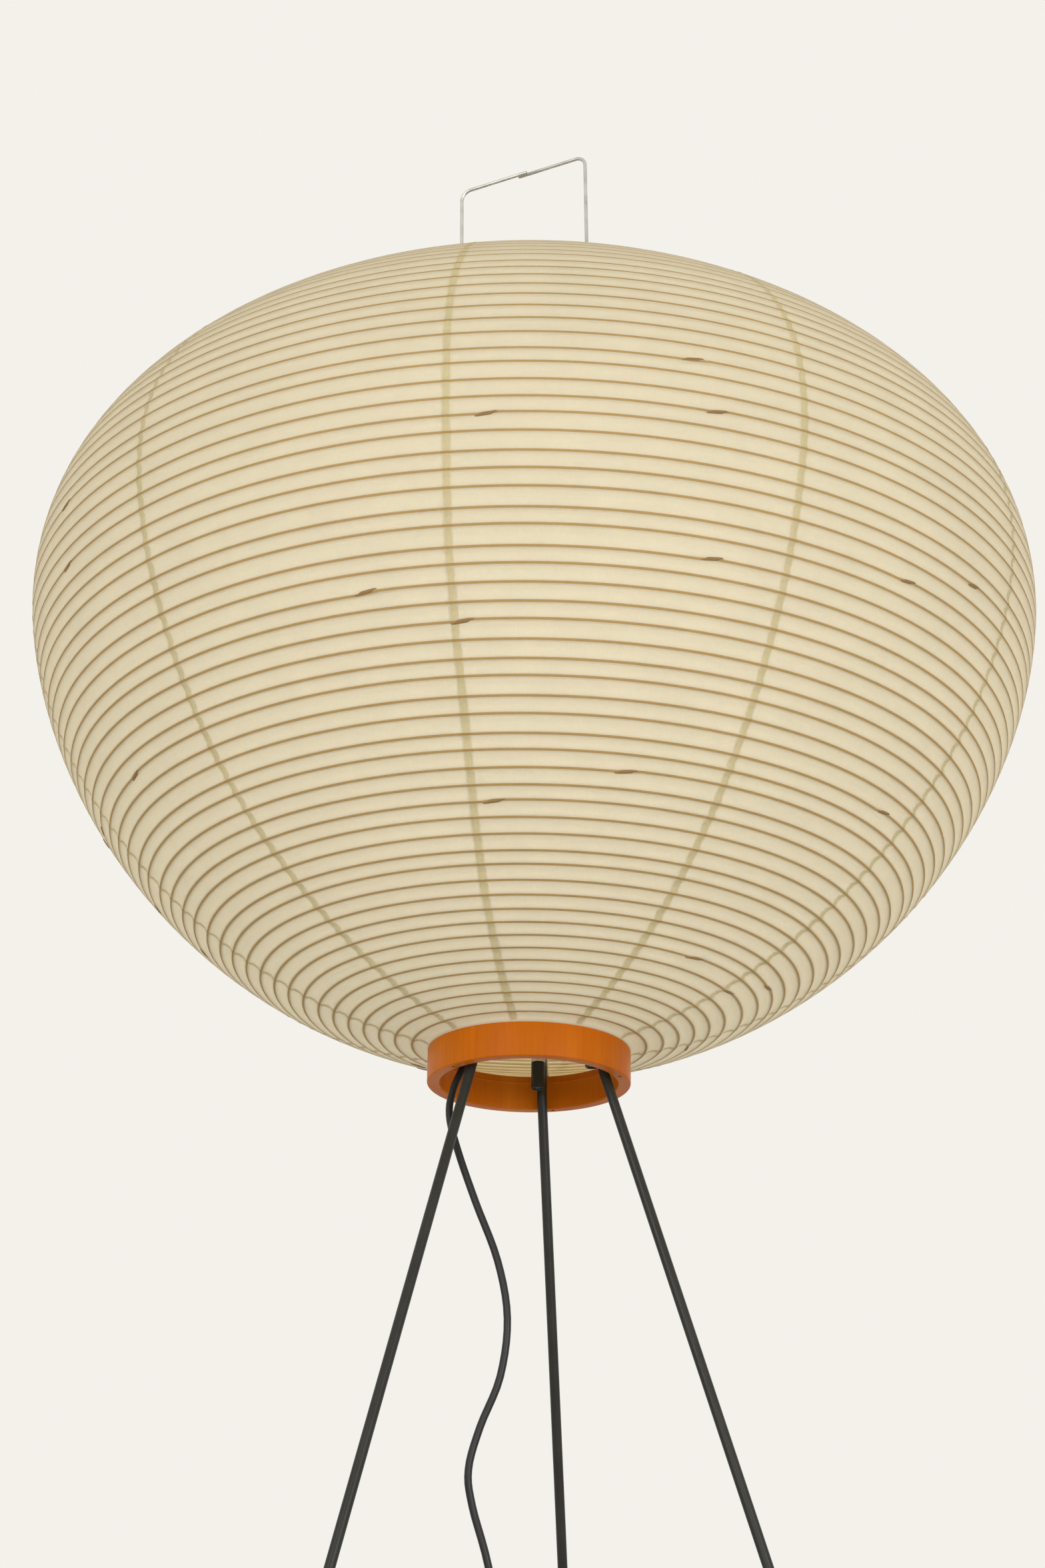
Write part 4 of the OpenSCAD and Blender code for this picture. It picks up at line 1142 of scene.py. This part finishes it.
KEPT = {
    "steel_wire": ("top_ring",),
    "spider_steel": ("spider", "spider_pins", "hoop_screws", "switch_screws"),
    "brass": ("nipple", "nipple_nuts", "screw_shell", "centre_contact", "terminals", "switch_contacts",
              "plug_pins"),
    "holder_plastic": ("holder_cup", "holder_body", "strain_relief"),
    "switch_plastic": ("switch_base", "switch_cover", "switch_rocker"),
    "insulation": ("lead_wires",), "bulb_glass": ("bulb_glass",), "cap_aluminium": ("bulb_cap",),
    "insulator": ("bulb_contact",), "rubber": ("cord_tie",)}


class LANTERN_OT_kept_pieces(bpy.types.Operator):
    """Give the CAD pieces that keep their shape their finishes."""
    bl_idname = "lantern.kept_pieces"
    bl_label = "Finishes of the fittings"

    def execute(self, context):
        for material, nodes in KEPT.items():
            for node in nodes:
                NODES[node].data.materials.clear()
                NODES[node].data.materials.append(finishes()[material])
        return {"FINISHED"}


# ---- Stage ----

CAMERA_PLACE = (-0.005, -1.2134, 0.324)
CAMERA_PITCH = 23.12
CAMERA_ROLL = 0.71
CAMERA_LENS = 57.83
BACKDROP = (0.90, 0.88, 0.83, 1)
FLOOR = (0.80, 0.78, 0.74)
FLOOR_SIZE = 40
# The backdrop's share in the floor's seen colour
FLOOR_EVEN = 0.7
SKY = (0.93, 0.94, 0.96, 1)
SKY_STRENGTH = 0.64


def stage_finish(name, tint):
    """Pale floor that keeps a soft shadow and runs into the backdrop."""
    material, place = start_material(name)
    tone = place.noise(0.8, 2).mix(rgba(tint, 0.985), rgba(tint, 1.01))
    matt = place.add("ShaderNodeBsdfDiffuse", {"Color": tone})
    even = place.add("ShaderNodeEmission", {"Color": BACKDROP, "Strength": 1.0})
    share = place.add("ShaderNodeLightPath", output="Is Camera Ray") * FLOOR_EVEN
    end_tree(place.add("ShaderNodeMixShader", {0: share, 1: matt, 2: even}))
    return material


def softbox(name, place, target, size, watts):
    """A flat lamp at the place, turned to the target."""
    lamp = started(name, bpy.ops.object.light_add, type="AREA", location=place)
    lamp.data.shape = "RECTANGLE"
    lamp.data.size, lamp.data.size_y = size
    lamp.data.energy = watts
    lamp.rotation_euler = (Vector(target) - Vector(place)).to_track_quat("-Z", "Y").to_euler()
    return lamp


class LANTERN_OT_stage(bpy.types.Operator):
    """Set up the floor, backdrop, soft light and camera."""
    bl_idname = "lantern.stage"
    bl_label = "Stage"

    def execute(self, context):
        scene = context.scene
        scene.view_settings.view_transform = "Standard"
        floor = started("floor", bpy.ops.mesh.primitive_plane_add, size=FLOOR_SIZE)
        floor.data.materials.append(stage_finish("floor", FLOOR))

        camera = started("camera", bpy.ops.object.camera_add)
        camera.data.sensor_fit = "VERTICAL"
        camera.data.sensor_height = 36
        camera.data.lens = CAMERA_LENS
        camera.matrix_world = (Matrix.Translation(CAMERA_PLACE)
                               @ Matrix.Rotation(math.radians(90 + CAMERA_PITCH), 4, "X")
                               @ Matrix.Rotation(math.radians(CAMERA_ROLL), 4, "Z"))
        scene.camera = camera

        softbox("key", (-2.2, -3.8, 1.2), (0, 0, 0.85), (2.6, 2.2), 62)
        softbox("fill", (2.2, -3.7, 0.6), (0, 0, 0.75), (2.4, 1.0), 74)
        back = softbox("back", (0.4, 3.8, 1.3), (0, 0, 0.85), (3.2, 2.2), 60)
        # A weak light in the shade's crown stands for the daylight inside it
        inside = softbox("inside", (0, 0, SHADE_TOP - 45 * MM), (0, 0, 0), (0.2, 0.2), 0.5)
        for lamp in (back, inside):
            lamp.visible_glossy = False
        inside.visible_camera = False

        world = bpy.data.worlds.new("studio")
        scene.world = world
        world.use_nodes = True
        world.node_tree.nodes.clear()
        base = Value(world.node_tree)
        light = base.add("ShaderNodeBackground", {"Color": SKY, "Strength": SKY_STRENGTH})
        seen = base.add("ShaderNodeBackground", {"Color": BACKDROP, "Strength": 1.0})
        ray, gloss, through = (base.add("ShaderNodeLightPath", output=f"Is {kind} Ray")
                               for kind in ("Camera", "Glossy", "Transmission"))
        direct = base.maths("MINIMUM", ray + gloss + through, 1.0)
        end_tree(base.add("ShaderNodeMixShader", {0: direct, 1: light, 2: seen}), "ShaderNodeOutputWorld")
        return {"FINISHED"}


class LANTERN_PT_panel(bpy.types.Panel):
    """Sizes, colours and steps of the lamp."""
    bl_label = "Lantern"
    bl_idname = "LANTERN_PT_panel"
    bl_space_type = "VIEW_3D"
    bl_region_type = "UI"
    bl_category = "Lantern"

    def draw(self, context):
        layout = self.layout
        for group in (context.scene.lantern_sizes, context.scene.lantern_colours):
            for name in group.__annotations__:
                layout.prop(group, name)
        for step in STEPS_IN_ORDER:
            layout.operator(step.bl_idname)


STEPS_IN_ORDER = (
    LANTERN_OT_stage, LANTERN_OT_plug, LANTERN_OT_cord, LANTERN_OT_paper, LANTERN_OT_laps,
    LANTERN_OT_ribs, LANTERN_OT_hoop, LANTERN_OT_stand, LANTERN_OT_feet, LANTERN_OT_wires,
    LANTERN_OT_kept_pieces)
CLASSES = (LanternSizes, LanternColours) + STEPS_IN_ORDER + (LANTERN_PT_panel,)


def register():
    for item in CLASSES:
        bpy.utils.register_class(item)
    bpy.types.Scene.lantern_sizes = bpy.props.PointerProperty(type=LanternSizes)
    bpy.types.Scene.lantern_colours = bpy.props.PointerProperty(type=LanternColours)


def unregister():
    del bpy.types.Scene.lantern_colours
    del bpy.types.Scene.lantern_sizes
    for item in reversed(CLASSES):
        bpy.utils.unregister_class(item)


def main():
    register()
    for step in STEPS_IN_ORDER:
        getattr(bpy.ops.lantern, step.bl_idname.split(".")[1])()


if __name__ == "__main__":
    main()
